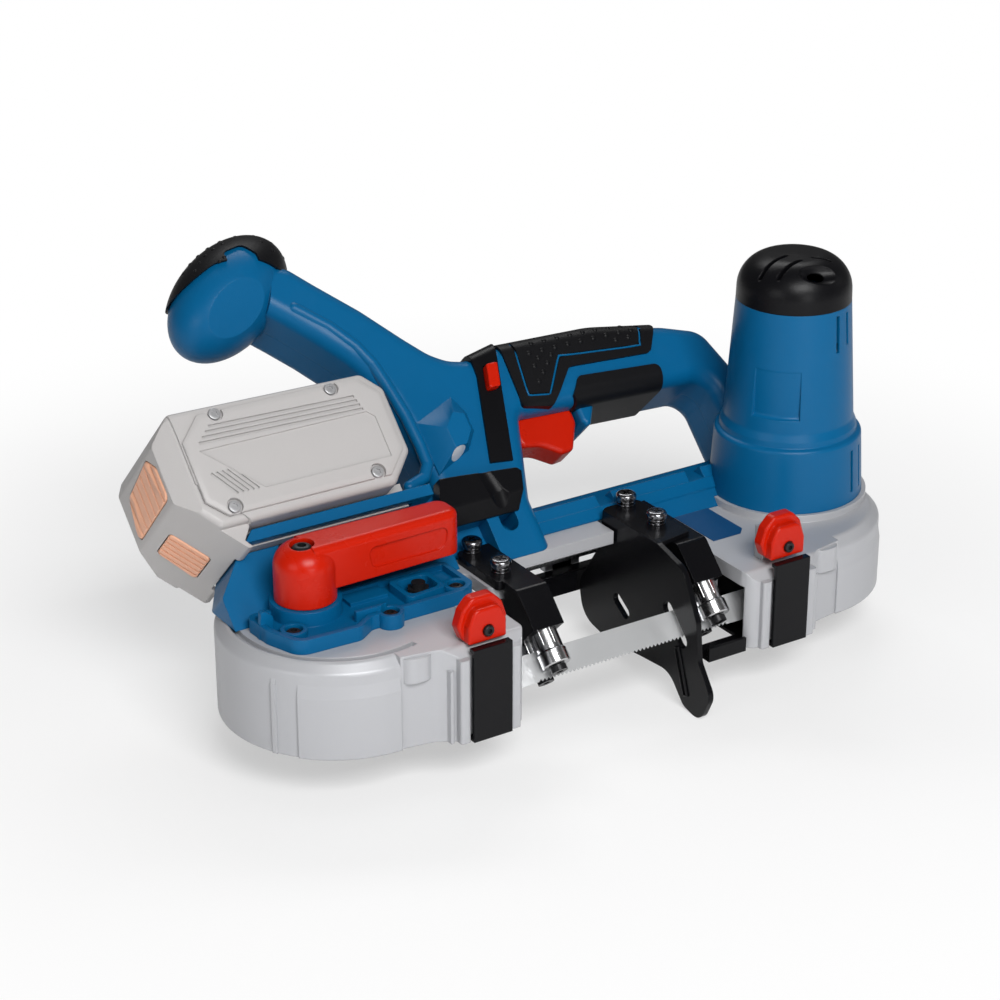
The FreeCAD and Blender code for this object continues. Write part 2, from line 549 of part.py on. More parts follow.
OFFSET = ROLLER_R + BLADE_T / 2 + BAND_GAP
ARM_TOP = OFFSET + ROLLER_R
PAD_Z = LEFT_TOP + 4.0
guide_screws = []
collars = []
bracket_screws = []
for name, x, ear in (("left", GUIDE_LEFT, EAR_LEFT), ("right", GUIDE_RIGHT, EAR_RIGHT)):
    end = blade_yz(-12, ARM_TOP)
    low = blade_yz(-12, -ARM_TOP + 4)
    inner = blade_yz(-20, -ARM_TOP + 4)
    knee = PAD_Z + (end[0] - end[1])
    arm = cross([(12.4, LEFT_TOP), (12.4, PAD_Z), (knee, PAD_Z, 4), end, low, inner, (inner[0] + 1.5, LEFT_TOP)],
                x - BRACKET_W / 2, x + BRACKET_W / 2)
    flap = plan([(ear - 7.5, 12.4, 4), (ear - 7.5, -22, 2), (ear + 7.5, -22, 2), (ear + 7.5, 12.4, 4)], LEFT_TOP, PAD_Z)
    window = cross([(-19.2, 30), (-19.2, LEFT_TOP), (14, LEFT_TOP), (14, 30)], x - 20, x + 20)
    arm = fuse([arm.cut(window), flap])
    for k, s in (("front", 1), ("rear", -1)):
        n = s * OFFSET
        arm = arm.cut(bar(on_blade(x, -26, n), CUT, 1.9, 30))
        hub = bar(on_blade(x, -12, n), CUT, ROLLER_R - 0.7, 8.4)
        knurl = []
        for i in range(16):
            a = 2 * math.pi * i / 16
            q = on_blade(x, -12, n).add(V(1, 0, 0) * (math.cos(a) * ROLLER_R)).add(FACE * (math.sin(a) * ROLLER_R))
            knurl.append(bar(q, CUT, 0.8, 6.4))
        hub = hub.cut(Part.makeCompound(knurl)).cut(bar(on_blade(x, -14, n), CUT, 2.0, 30))
        collars.append(hub)
        roll = bar(on_blade(x, -3.2, n), CUT, ROLLER_R, 6.4)
        roll = roll.makeChamfer(0.5, [e for e in roll.Edges if e.Curve.TypeId == "Part::GeomCircle"])
        parts["guide_roller_%s_%s" % (name, k)] = roll.cut(bar(on_blade(x, -14, n), CUT, 2.0 + RUN, 30))
        shank = bar(on_blade(x, -22, n), CUT, 1.9, 10).fuse(bar(on_blade(x, -12, n), CUT, 2.0, 15.6))
        head = bar(on_blade(x, 3.6, n), CUT, 3.6, 2.6).cut(bar(on_blade(x, 4.8, n), CUT, 1.5, 4))
        guide_screws.append(shank.fuse(head).removeSplitter())
    for y in (SCREW_BACK, SCREW_FRONT):
        arm = arm.cut(rod(ear, y, 0, 80, 2.5))
        beam = beam.cut(rod(ear, y, 0, 80, 2.5))
    parts["guide_bracket_" + name] = arm
parts["guide_screws"] = Part.makeCompound(guide_screws)
parts["guide_collars"] = Part.makeCompound(collars)

# Work stop: bent sheet with a tongue past the blade, screwed on the right bracket
TONGUE = [(10, 48.0), (-31, 48.0, 6), (-50, 43, 10), (-60.5, 22, 10), (-62.5, 4, 6), (-72, -9, 7), (-65, -23.5, 7),
          (-53, -21, 6), (-42, -9, 12), (-20, -11, 10), (4, -14, 14), (24, -10, 12), (28, 6, 14), (12, 30, 14)]
stop = cross(TONGUE, STOP_X, STOP_X + STOP_T)
blade_slot = [blade_yz(-11, 3.6) + (3.4,), blade_yz(11, 3.6) + (3.4,), blade_yz(11, -3.6) + (3.4,), blade_yz(-11, -3.6) + (3.4,)]
stop = stop.cut(cross(blade_slot, STOP_X - 5, STOP_X + 10))
stop = stop.cut(cross([(-13, 6, 2.6), (-2, 13, 2.6), (2, 8.5, 2.6), (-9, 1.5, 2.6)], STOP_X - 5, STOP_X + 10))
stop = stop.cut(bar(V(STOP_X - 5, -28, 2), V(1, 0, 0), 2.2, 20))
flange = plan([(STOP_X, 12, 4), (STOP_X, -31, 1), (EAR_RIGHT + 7.5, -28, 2), (EAR_RIGHT + 7.5, 12, 3)], PAD_Z, PAD_Z + 2)
stop = fuse([stop, flange])
for y in (SCREW_BACK, SCREW_FRONT):
    stop = stop.cut(rod(EAR_RIGHT, y, 30, 80, 2.5))
stop = stop.cut(box(STOP_X - 1, EAR_RIGHT - 7.5, -40, 40, LEFT_TOP - DECK_T, PAD_Z).common(flange))
parts["work_stop"] = stop
for ear, z in ((EAR_LEFT, PAD_Z), (EAR_RIGHT, PAD_Z + 2)):
    for y in (SCREW_BACK, SCREW_FRONT):
        washer = rod(ear, y, z, z + 2.6, 4.2)
        bracket_screws.append(washer.fuse(screw(ear, y, z + 2.6, 2.5, 4.6, 3.2, z + 2.6 - LEFT_TOP + 6)).removeSplitter())
parts["bracket_screws"] = Part.makeCompound(bracket_screws)
beam = beam.cut(box(STOP_X - 1, STOP_X + STOP_T + 1, -40, BEAM_FRONT, -30, LEFT_TOP + 1))
parts["beam"] = beam
parts["guard_left"] = guard_left

# Blade: one toothed band, upright round the wheels and twisted between the guides
FLAT = (GUIDE_LEFT - 9, GUIDE_RIGHT + 9)


def toothed(x0, x1, place):
    half = BLADE_W / 2
    count = int((x1 - x0 - 2) / TOOTH_PITCH)
    pts = [(x0, -half), (x1, -half), (x1, half)]
    for i in range(count):
        x = x1 - 1 - i * TOOTH_PITCH
        pts.append((x, half))
        pts.append((x - TOOTH_PITCH * 0.3, half - TOOTH_DEPTH))
    pts.append((x1 - 1 - count * TOOTH_PITCH, half))
    pts.append((x0, half))
    return Part.Face(loop(pts, place))


flat_face = toothed(FLAT[0], FLAT[1], lambda u, v: on_blade(u, v, -BLADE_T / 2))
band = [flat_face.extrude(FACE * BLADE_T)]
back_face = toothed(XL, XR, lambda u, v: V(u, BAND_IN, BAND_Z - v))
band.append(back_face.extrude(V(0, BLADE_T, 0)))


def strip(x, degrees):
    a = math.radians(degrees)
    c = V(0, -math.sin(a), -math.cos(a)) * (BLADE_W / 2)
    n = V(0, -math.cos(a), math.sin(a)) * (BLADE_T / 2)
    m = V(x, STRAND_Y, BAND_Z)
    return Part.makePolygon([m.add(c).add(n), m.add(c).sub(n), m.sub(c).sub(n), m.sub(c).add(n), m.add(c).add(n)])


for x_flat, s, x_end in ((FLAT[0], -1, XL), (FLAT[1], 1, XR)):
    x_up = x_flat + s * TWIST_RUN
    steps = [strip(x_flat + (x_up - x_flat) * i / 6, TWIST * (1 - i / 6)) for i in range(7)]
    band.append(Part.makeLoft(steps, True, True))
    band.append(box(min(x_up, x_end), max(x_up, x_end), -BAND_OUT, -BAND_IN, BAND_Z - BLADE_W / 2, BAND_Z + BLADE_W / 2))
for x, first in ((XL, 90), (XR, 270)):
    arc = Part.makeCylinder(BAND_OUT, BLADE_W, V(x, 0, BAND_Z - BLADE_W / 2), V(0, 0, 1), 180)
    arc.rotate(V(x, 0, 0), V(0, 0, 1), first)
    arc = arc.cut(rod(x, 0, 0, 60, BAND_IN))
    vees = []
    count = int(math.pi * WHEEL_R / TOOTH_PITCH) - 1
    for i in range(count):
        vee = cross([(BAND_IN - 1, BAND_Z - BLADE_W / 2 - 0.5), (BAND_IN - 1, BAND_Z - BLADE_W / 2 + TOOTH_DEPTH),
                     (BAND_OUT + 1, BAND_Z - BLADE_W / 2 + TOOTH_DEPTH), (BAND_OUT + 1, BAND_Z - BLADE_W / 2 - 0.5)],
                    x - 0.45, x + 0.45)
        vee.rotate(V(x, 0, 0), V(0, 0, 1), first - 90 + 180.0 * (i + 1) / (count + 1))
        vees.append(vee)
    band.append(arc.cut(Part.makeCompound(vees)))
parts["blade"] = fuse(band)

# Motor tower on a raised seat of the right guard
TOWER = [(0, BASE_Z), (TOWER_R + 1.7, BASE_Z), (TOWER_R, SHOULDER_Z, 2.0), (NECK_R + 1.8, SHOULDER_Z + 1.0, 0.6),
         (NECK_R + 1.4, SHOULDER_Z + 3.6, 1.2), (NECK_R, SHOULDER_Z + 7, 3), (CAP_R, CAP_Z), (0, CAP_Z)]
tower = turned(TOWER, XM, YM)
GEARBOX_TOP = 62.0
hollow = fuse([rod(XM, YM, BASE_Z - 1, GEARBOX_TOP, TOWER_R - 3.4), rod(XM, YM, GEARBOX_TOP - 1, GEARBOX_TOP + 53, MOTOR_R + 1.2),
               rod(XM, YM, GEARBOX_TOP + 52, CAP_Z + 1, CAP_R - 2.4)])
tower = tower.cut(hollow)
vents = []
for a, z0, z1 in ((-80, 111, 128), (-64, 113, 128), (-69, 44, 64), (-55, 44, 64), (-41, 44, 64)):
    slit = side([(XM + 18, z0, 1), (XM + 45, z0, 1), (XM + 45, z1, 1), (XM + 18, z1, 1)], YM - 1.0, YM + 1.0)
    slit.rotate(V(XM, YM, 0), V(0, 0, 1), a)
    vents.append(slit)
tower = tower.cut(Part.makeCompound(vents))
# Bare recessed panel on the neck's left
name_panel = part_turned([(NECK_R - 2.05, 82, 2), (NECK_R + 3, 82), (NECK_R + 3, 106), (NECK_R - 2.05, 106, 2)], XM, 197, 44)
name_panel.translate(V(0, YM, 0))
tower = tower.cut(name_panel)
cap = turned([(0, CAP_Z), (CAP_R, CAP_Z), (CAP_R - 0.6, TOWER_TOP - 0.6, 15.5), (0, TOWER_TOP + 0.6)], XM, YM)
cap = cap.cut(turned([(0, CAP_Z - 1), (CAP_R - 2.6, CAP_Z - 1), (CAP_R - 3.2, TOWER_TOP - 3.6, 13), (0, TOWER_TOP - 2.4)], XM, YM))
for x0, y0, turn, length in ((-23, -3.8, 10, 18.0), (-19, -11.4, 11, 16.0), (2.0, -8.2, -41, 9.0)):
    slit = plan([(0, -1.0, 0.9), (length, -1.0, 0.9), (length, 1.0, 0.9), (0, 1.0, 0.9)], CAP_Z + 9, TOWER_TOP + 5)
    slit.rotate(V(0, 0, 0), V(0, 0, 1), turn)
    slit.translate(V(XM + x0, YM + y0, 0))
    cap = cap.cut(slit)
scoop = Part.makeSphere(1.0)
stretch = FreeCAD.Matrix()
stretch.scale(12.5, 6.2, 6.0)
scoop = scoop.transformGeometry(stretch)
scoop.rotate(V(0, 0, 0), V(0, 0, 1), -29)
scoop.translate(V(XM - 0.5, YM - 22.5, TOWER_TOP - 1.5))
dish = turned([(0, CAP_Z + 3), (CAP_R - 2.4, CAP_Z + 3), (CAP_R - 3.0, TOWER_TOP - 5.8, 12), (0, TOWER_TOP - 4.6)], XM, YM)
cap = cap.cut(scoop)
parts["motor_cap"] = cap

# Gear train: motor pinion drives the gear on the wheel's shaft
GEAR_Z = 42.0
GEAR_T = 8.0
parts["drive_gear"] = gear(WHEEL_TEETH, XR, 0, GEAR_Z, GEAR_Z + GEAR_T, DRIVE_SHAFT_R, MOTOR_TURN + 180.0 / WHEEL_TEETH)
parts["pinion"] = gear(PINION_TEETH, XM, YM, GEAR_Z - 0.5, GEAR_Z + GEAR_T + 0.5, 2.0, MOTOR_TURN + 180.0)
drive_shaft = fuse([rod(XR, 0, z_low - 4, GEAR_Z + GEAR_T + 5, DRIVE_SHAFT_R)])
parts["drive_shaft"] = drive_shaft.cut(rod(XR, 0, 0, z_low + 8, 2.5))
bolt = turned([(0, z_low - 6.6), (7, z_low - 6.6), (7, z_low - 4), (2.5, z_low - 4), (2.5, z_low + 8), (0, z_low + 8)], XR, 0)
parts["wheel_bolt"] = bolt
parts["shaft_bearing"] = tube(XR, 0, RIGHT_TOP - DECK_T, RIGHT_TOP, BEARING_R, DRIVE_SHAFT_R + RUN)
plate_r = TOWER_R - 3.4
gearbox = tube(XM, YM, GEARBOX_TOP - 8, GEARBOX_TOP, plate_r, 7.0)
gearbox = gearbox.cut(rod(XR, 0, GEARBOX_TOP - 9, GEARBOX_TOP - 4, DRIVE_SHAFT_R + 2))
parts["gearbox_plate"] = gearbox
parts["motor_bearing"] = tube(XM, YM, GEARBOX_TOP - 7, GEARBOX_TOP - 1, 7.0, 2.0 + RUN)
stator = tube(XM, YM, GEARBOX_TOP + 4, GEARBOX_TOP + 50, MOTOR_R + 1.2, 15.2)
stator_feet = tube(XM, YM, GEARBOX_TOP, GEARBOX_TOP + 4, MOTOR_R + 1.2, MOTOR_R - 3)
parts["motor_stator"] = fuse([stator, stator_feet])
rotor = fuse([rod(XM, YM, GEARBOX_TOP + 7, GEARBOX_TOP + 46, 14.4), rod(XM, YM, GEAR_Z - 0.5, GEARBOX_TOP + 60, 2.0)])
parts["motor_rotor"] = rotor
fan = tube(XM, YM, GEARBOX_TOP + 53, GEARBOX_TOP + 55, 18, 2.0)
blades = ring_of(box(XM + 6, XM + 18, YM - 0.6, YM + 0.6, GEARBOX_TOP + 55, GEARBOX_TOP + 60), XM, YM, 10)
parts["cooling_fan"] = fuse([fan, tube(XM, YM, GEARBOX_TOP + 55, GEARBOX_TOP + 58, 5, 2.0)] + blades)

# Handle housing in its own frame
def knob_shape(grow):
    dome = Part.makeSphere(1.0)
    dome.rotate(V(0, 0, 0), V(1, 0, 0), 90)
    m = FreeCAD.Matrix()
    m.scale(KNOB_LONG + grow, KNOB_DEEP + grow, KNOB_R + grow)
    dome = dome.transformGeometry(m)
    dome.rotate(V(0, 0, 0), V(0, 1, 0), -KNOB_TILT)
    # Flats under both cheeks make the mushroom's crease
    for s in (-1, 1):
        y = s * (KNOB_DEEP - 2.6)
        slab = box(-100, 100, min(y, y + s * 40), max(y, y + s * 40), -80, 80)
        slab.rotate(V(0, 0, 0), V(1, 0, 0), -s * 30)
        dome = dome.cut(slab)
    dome.translate(V(KNOB_X, 0, KNOB_H))
    return dome


def beading(points, y, r):
    # Raised round bead along a path on the handle's cheek.
    path = [V(x, y, w) for x, w in points]
    pieces = [Part.makeSphere(r, q) for q in path]
    for a, b in zip(path, path[1:]):
        pieces.append(bar(a, b.sub(a), r, a.distanceToPoint(b)))
    return pieces


half = BODY_W / 2
knob = knob_shape(0)
DX = KNOB_X + 96.5
DW = KNOB_H - 134
body_pts = [(-78 + DX, 140 + DW), (-70.4 + DX, 136.3 + DW, 8), (-61.4 + DX, 126.6 + DW, 30), (-45.3, 110.2, 40), (-30.7, 92.8, 50),
            (-22, 83.2, 25), (-14.6, 78.2, 20), (-6.4, 76.2, 10), (3, 77.2), (0, 62), (-6, 34), (-15, 6), (-15, -40), (-46.6, -40),
            (-46.6, 36, 40), (-48.3, 52, 60), (-52, 74.5, 60), (-61.0, 88.6, 60), (-71.5 + DX, 101 + DW, 25), (-81 + DX, 111 + DW, 10),
            (-88 + DX, 118 + DW)]
body = side(body_pts, -half, half)


def arm_edge(e):
    c = e.CenterOfMass
    hidden = c.x < -80 + DX and c.z > 115.5 + DW
    return (abreast(e, -half) or abreast(e, half)) and (c.x < -16 or c.z > 75) and c.z > -39 and not hidden


body = soften(body, 7.0, arm_edge)
body = body.cut(box(-80, 60, -40, -RAIL_W / 2, -60, 2))
bead_pts = [(-76.5 + DX, 116.5 + DW), (-64.3, 104.8), (-55.6, 93.1), (-51.2, 83.4), (-48.6, 71), (-46.2, 56.6), (-45.2, 41.4), (-45.6, 32.5),
            (-49.5, 27.2), (-58, 24.8)]
beads = []
for s in (-1, 1):
    beads += beading(bead_pts, s * (half - 1.6), BEAD_R)


def grip_shape(g):
    # Pier, grip and right leg; g thickens them for the soft covers.
    x = OPEN_RIGHT
    pts = [(-30, -34), (-30, 56), (-8, 62), (3, GRIP_TOP + g, 12), (60, GRIP_TOP - 1.8 + g, 60), (x - 12, GRIP_TOP - 8.4 + g, 30),
           (x + 8 + g * 0.7, GRIP_TOP - 15.2 + g * 0.7, 13), (LEG_OUT + g, 40, 14), (LEG_OUT + g, -34), (x - g, -34),
           (x - g, OPEN_HIGH - 3.6 - g, 9), (9 + g, OPEN_HIGH + 0.8 - g, 5), (PIER_X + g, 6, 9), (PIER_X + g, -34)]
    wide = GRIP_W / 2 + g
    solid = side(pts[::-1], -wide, wide)
    return soften(solid, GRIP_ROUND, lambda e: (abreast(e, -wide) or abreast(e, wide)) and level_free(e))


grip = grip_shape(0)
rail = cross([(-RAIL_W / 2, -40), (-RAIL_W / 2, OPEN_LOW, 1), (RAIL_W / 2, OPEN_LOW, 1), (RAIL_W / 2, -40)], -16, LEG_OUT - 3)
shelf_pts = [(-157.5, -40), (-157.5, -1, 4), (-139, PACK_LOW - 1, 2), (-42, PACK_LOW - 1), (-42, -40)]
shelf = side(shelf_pts, -SHELF_W / 2, SHELF_W / 2)
shelf = shelf.cut(box(-50, 0, -40, -RAIL_W / 2, -60, 2))
lip = side([(-144, PACK_LOW - 6), (-139, PACK_LOW - 1), (-53.6, PACK_LOW - 1), (-53.6, PACK_LOW - 6)], -LIP_W / 2, LIP_W / 2)
horn = side([(40.9, 52), (40.9, 37, 1), (42.5, 34, 1), (45, 34.6, 1), (52, 46, 4), (56, 52)], -11, 11)
horn = soften(horn, 2.0, lambda e: (abreast(e, 11) or abreast(e, -11)) and e.CenterOfMass.z < 50)
pod_foot = loop([(-44, 52), (-43, 26), (-24, 34), (-18, 42), (-18, 51), (-22, 60)], lambda u, v: V(u, -half + 0.5, v))
pod_top = loop([(-35, 43.5), (-34.5, 34), (-28.5, 34.5), (-24, 40), (-24, 48), (-29, 50)], lambda u, v: V(u, -half - 8, v))
pod = Part.makeLoft([pod_foot, pod_top], True, True)
housing = fuse([body, knob, grip, rail, shelf, lip, pod, horn] + beads)
# Channel for the pack's rails, open to the left
channel = box(-200, -62, -22, 22, PACK_LOW - 7, PACK_LOW + 3)
housing = housing.cut(channel)
tongues = []
for s in (-1, 1):
    y = s * 20.8
    tongues.append(box(-139, -64, min(y, s * 22.5), max(y, s * 22.5), PACK_LOW - 4.6, PACK_LOW - 2.6))
housing = fuse([housing] + tongues)
# Trigger and switch space in the grip
TRIG_X = (6.0, 40.4)
housing = housing.cut(box(TRIG_X[0] - SLIP, TRIG_X[1] + SLIP, -TRIGGER_W / 2 - SLIP, TRIGGER_W / 2 + SLIP, 28, 52))
housing = housing.cut(box(14, 60, -9, 9, 52, 74))
lock_face = Part.Face(loop([(-4.9, 57.8, 1), (0.9, 57.8, 1), (4.1, 69.2, 1), (-1.7, 69.2, 1)], lambda u, v: V(u, -half - 5, v)))
lock_hole = lock_face.makeOffset2D(SLIP)
lock_hole.translate(V(0, -15, 0))
lock_hole = lock_hole.extrude(V(0, half + 14, 0))
housing = housing.cut(lock_hole)
housing = housing.cut(box(-44, -17, -9.5, 9.5, 12.5, 46))
lens_bar = bar(V(-34.2, -half + 1.5, 38.2), V(0.25, -0.7, -0.75), 4.2, 30)
housing = housing.cut(lens_bar)
# Access notches in the rail's front edge, open upwards
for x, low in ((-19.8, -2.2), (35.6, -1.1), (OPEN_RIGHT - 24.8, -3.7)):
    notch = fuse([bar(V(x, -RAIL_W / 2 - 12, low), V(0, 1, 0), 4.2, 18), box(x - 4.2, x + 4.2, -RAIL_W / 2 - 12, -RAIL_W / 2 + 6, low, 2.2)])
    housing = housing.cut(notch)
halves = {}
halves["housing_front"] = housing.common(box(-400, 400, -200, 0, -100, 300))
halves["housing_rear"] = housing.common(box(-400, 400, 0, 200, -100, 300))
ground = [box(-400, 400, -300, 300, -200, RIGHT_TOP), box(-400, RIGHT_FACE, -300, 300, -200, LEFT_TOP),
          rod(POST_X, POST_Y, 0, LEVER_Z + 2, POST_R + 2 + SLIP), turned(TOWER, XM, YM),
          rod(XM, YM, RIGHT_TOP - 1, BASE_Z, TOWER_R + 3.6)]
foot = cross([(12.9, 30), (12.9, 43.2), (16.9, 46.4), (31.4, 46.4), (15.0, 30)], -45, XM - 12)
for name in halves:
    s = lean(halves[name])
    if name == "housing_front":
        s = fuse([s, foot])
    for g in ground:
        s = s.cut(g)
    parts[name] = s
parts["motor_housing"] = tower
parts["guard_right"] = guard_right

# Soft covers
crown = [(-142, 118), (-125, 136.5, 8), (-105, 143.5, 10), (-88, 140.5), (-66, 131), (-56, 190), (-142, 190)]
tab = [(-101.5, 130), (-99.5, 148, 3), (-90, 149.5, 3), (-86, 143, 1), (-86.5, 130)]
shifted = []
for pts in (crown, tab):
    shifted.append([(q[0] + DX, q[1] + DW) + tuple(q[2:]) for q in pts])
knob_pad = knob_shape(1.4).cut(knob_shape(0)).common(side(shifted[0], -60, 60)).cut(side(shifted[1], -60, 60))
parts["knob_pad"] = lean(knob_pad.cut(body))
skin = grip_shape(PAD_T).cut(grip)
under_skin = grip_shape(PAD_T * 0.45).cut(grip)
COLLAR = [(-17.6, 25.4), (-6.6, 24), (6.2, 69.8), (9.2, 80.8), (-5.5, 77.8), (-6.4, 65.6)]
END = OPEN_RIGHT - 18
pad_pts = [(10.4, 110), (10.4, 76), (9.6, 47.4, 2), (25.8, 44.7, 2), (40, 60.1, 4), (END - 8, 57.6, 4), (END, 70, 4), (END, 110)]
inner_pts = [(17, 110), (17, 73.2), (14.2, 51.4, 2), (25.2, 49.7, 3), (37.1, 66.2, 5), (END - 11.9, 62.1, 4), (END - 8.2, 70.6), (END - 7, 110)]
inner_face = Part.Face(loop(inner_pts, lambda u, v: V(u, -60, v)))
rim_zone = side(pad_pts, -60, 60).cut(inner_face.makeOffset2D(0.6).extrude(V(0, 120, 0)))
island = inner_face.makeOffset2D(-0.6).extrude(V(0, 120, 0))
band = side(COLLAR, -half - 1.4, half + 1.4)
band = soften(band, 6.0, lambda e: (abreast(e, -half - 1.4) or abreast(e, half + 1.4)) and e.CenterOfMass.z > 79)
top_pad = fuse([under_skin.common(side(pad_pts, -60, 60)), skin.common(rim_zone), skin.common(island)])
parts["top_pad"] = lean(top_pad.cut(body).cut(band))
low_pts = [(37, 47), (44, 30), (END - 8, 30), (END - 6.4, 51.6, 3), (42.5, 54.8, 3)]
grip_pad = skin.common(side(low_pts, -60, 60)).cut(horn)
grip_pad = grip_pad.cut(box(0, TRIG_X[1] + 2 * SLIP, -TRIGGER_W / 2 - 2 * SLIP, TRIGGER_W / 2 + 2 * SLIP, 20, 60))
parts["grip_pad"] = lean(grip_pad)
collar = band.cut(housing).cut(lock_hole).cut(box(-60, 60, -half, half, 0, 74))
parts["collar"] = lean(collar)
lock = lock_face.extrude(V(0, half - 6, 0))
parts["lock_button"] = lean(soften(lock, 0.8, lambda e: abreast(e, -half - 5)))
trig = side([(TRIG_X[0], 50), (8.4, 33, 3), (18, 31.2, 12), (27, 25.2, 3), (33, 25.8, 3), (40, 38, 5), (TRIG_X[1], 50)],
            -TRIGGER_W / 2, TRIGGER_W / 2)
trig = soften(trig, 2.2, lambda e: (abreast(e, TRIGGER_W / 2) or abreast(e, -TRIGGER_W / 2)) and e.CenterOfMass.z < 46)
trig = trig.cut(box(0, 60, -50, 50, 46.5, 60))
parts["trigger"] = lean(trig)
parts["switch_module"] = lean(box(14, 60, -9, 9, 54, 74))
parts["control_board"] = lean(box(-42, -19, -8.5, 8.5, 12.5, 14.7))
parts["led_lens"] = lean(lens_bar.common(pod))

# Hex key and its clip
KEY_R = 2.3
key_y = -half - 3.4
clip = cross([(-half, 22.5), (-half - 7.2, 22.5, 1.5), (-half - 8, 8, 1.5), (-half - 1.4, 1.4), (-half, 1.4)], -60, 0)
clip = clip.common(side([(-47.7, 22.2), (-10.2, 18.5, 2), (-8.6, 16.5, 1), (-14.5, 0), (-47, 0), (-52.6, 11, 3)], -40, 0))
clip = clip.cut(bar(V(-24, -half - 12.6, 8), V(-0.2, 0, 1), 6.0, 30)).cut(bar(V(-24, -half - 12.6, 8.5), V(0.2, 0.5, -1), 6.0, 30))
clip = clip.cut(bar(V(-160, key_y, 11), V(1, 0, 0), KEY_R + SLIP, 200))
parts["key_clip"] = lean(clip)
hexa = [(key_y + KEY_R * math.cos(math.pi * i / 3), 11 + KEY_R * math.sin(math.pi * i / 3)) for i in range(6)]
parts["hex_key"] = lean(cross(hexa, -128, -17))

# Battery pack: a straight block, with an end cap that carries the two release buttons
half = PACK_W / 2
SLANT = [(-153.9, PACK_LOW + 0.8, 2), (PACK_LEFT, 39.1, 4), (PACK_LEFT, 65.3, 4), (-159, 75.5, 4)]
block = side([(-68.4, 73.8, 4), (PACK_RIGHT, 65, 4), (PACK_RIGHT, 35, 4), (-72.5, PACK_LOW, 4), (-150, PACK_LOW, 1)] + SLANT, -half, half)
block = soften(block, 3.0, lambda e: (abreast(e, half) or abreast(e, -half)) and e.CenterOfMass.x > -149)
END_LINE = [(-159.6, 90), (-158.5, 66), (-158.5, 43), (-141, 22.2), (-141, 0), (-230, 0), (-230, 90)]
end_zone = side(END_LINE, -60, 60)
shoe = box(-139, -64, -22 + SLIP, 22 - SLIP, PACK_LOW - 6.6, PACK_LOW + 4)
for s in (-1, 1):
    y = s * (20.8 - SLIP)
    shoe = shoe.cut(box(-150, -50, min(y, s * 30), max(y, s * 30), PACK_LOW - 4.6 - SLIP, PACK_LOW - 2.6 + SLIP))
parts["battery_pack"] = lean(fuse([block.cut(end_zone), shoe]))
end_cap = side([(-140, 75.1), (-140, PACK_LOW + 0.8)] + SLANT, -half + 1, half - 1)
end_cap = soften(end_cap, 2.6, lambda e: (abreast(e, half - 1) or abreast(e, -half + 1)) and e.CenterOfMass.x < -141)
hook = side([(-160.1, 30), (-145, 12.5, 1.5), (-142.8, 12.5), (-145.2, 16.0), (-141.2, 21.4), (-141.2, 30)], -31, 31)
hook = hook.cut(side([(q[0] - 0.8, q[1] + 0.2) for q in shelf_pts], -SHELF_W / 2 - 0.8, SHELF_W / 2 + 0.8))
end_cap = fuse([end_cap.common(end_zone), hook.common(end_zone)])
for y0, y1 in ((-29, -36), (22, 36)):
    wedge = [(PACK_LEFT - 3, y0 - (y1 - y0) * 0.3), (PACK_LEFT + 10, y1), (PACK_LEFT - 3, y1)]
    end_cap = end_cap.cut(plan(wedge, 0, 100))
# Two release buttons sunk in the end's upright and slanting faces
PUSH = 2.0
DEEP = 6.0
SLOPE = V(0.654, 0, -0.756)
INTO = V(0.756, 0, 0.654)
PRESS = V(1, 0, 0)
START = V(PACK_LEFT, 0, 39.1)


def on_upright(u, v):
    return V(PACK_LEFT - PACK_PROUD, u, v)


def on_slant(u, v):
    return START.add(SLOPE * v).add(V(0, u, 0)).sub(INTO * PACK_PROUD)


upper = [(-19, 63.5, 3), (-26, 57, 3), (-26.5, 43, 3), (17, 42, 3), (16.5, 47, 3), (11, 60, 4)]
lower = [(-6, 6, 2), (-6, 25.5, 2), (16, 25.5, 2), (14, 6, 2)]
for name, pts, place, way in (("upper", upper, on_upright, PRESS), ("lower", lower, on_slant, INTO)):
    face = Part.Face(loop(pts, place))
    hole = face.makeOffset2D(SLIP)
    hole.translate(way * -1)
    end_cap = end_cap.cut(hole.extrude(way * (1 + DEEP + PUSH + SLIP)))
    button = face.extrude(way * DEEP)
    rim_edges = [e for e in button.Edges if all((q.Point.sub(face.CenterOfMass)).dot(way) < 1e-4 for q in e.Vertexes)]
    parts["battery_button_" + name] = lean(button.makeFillet(0.8, rim_edges))
parts["battery_end"] = lean(end_cap)

# Row frame: zero at the middle of the foot of the whole envelope
ORIGIN = V(-(PACK_LEFT - PACK_PROUD + XR + GUARD_R) / 2, -39.4, 22.5)
os.makedirs("parts", exist_ok=True)
for name in parts:
    shape = parts[name]
    shape.translate(ORIGIN)
    print(name, len(shape.Solids), round(shape.Volume, 1), shape.isValid())
    shape.exportStep("parts/%s.step" % name)
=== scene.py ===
import json
import math
import bmesh
import bpy
from mathutils import Matrix, Vector


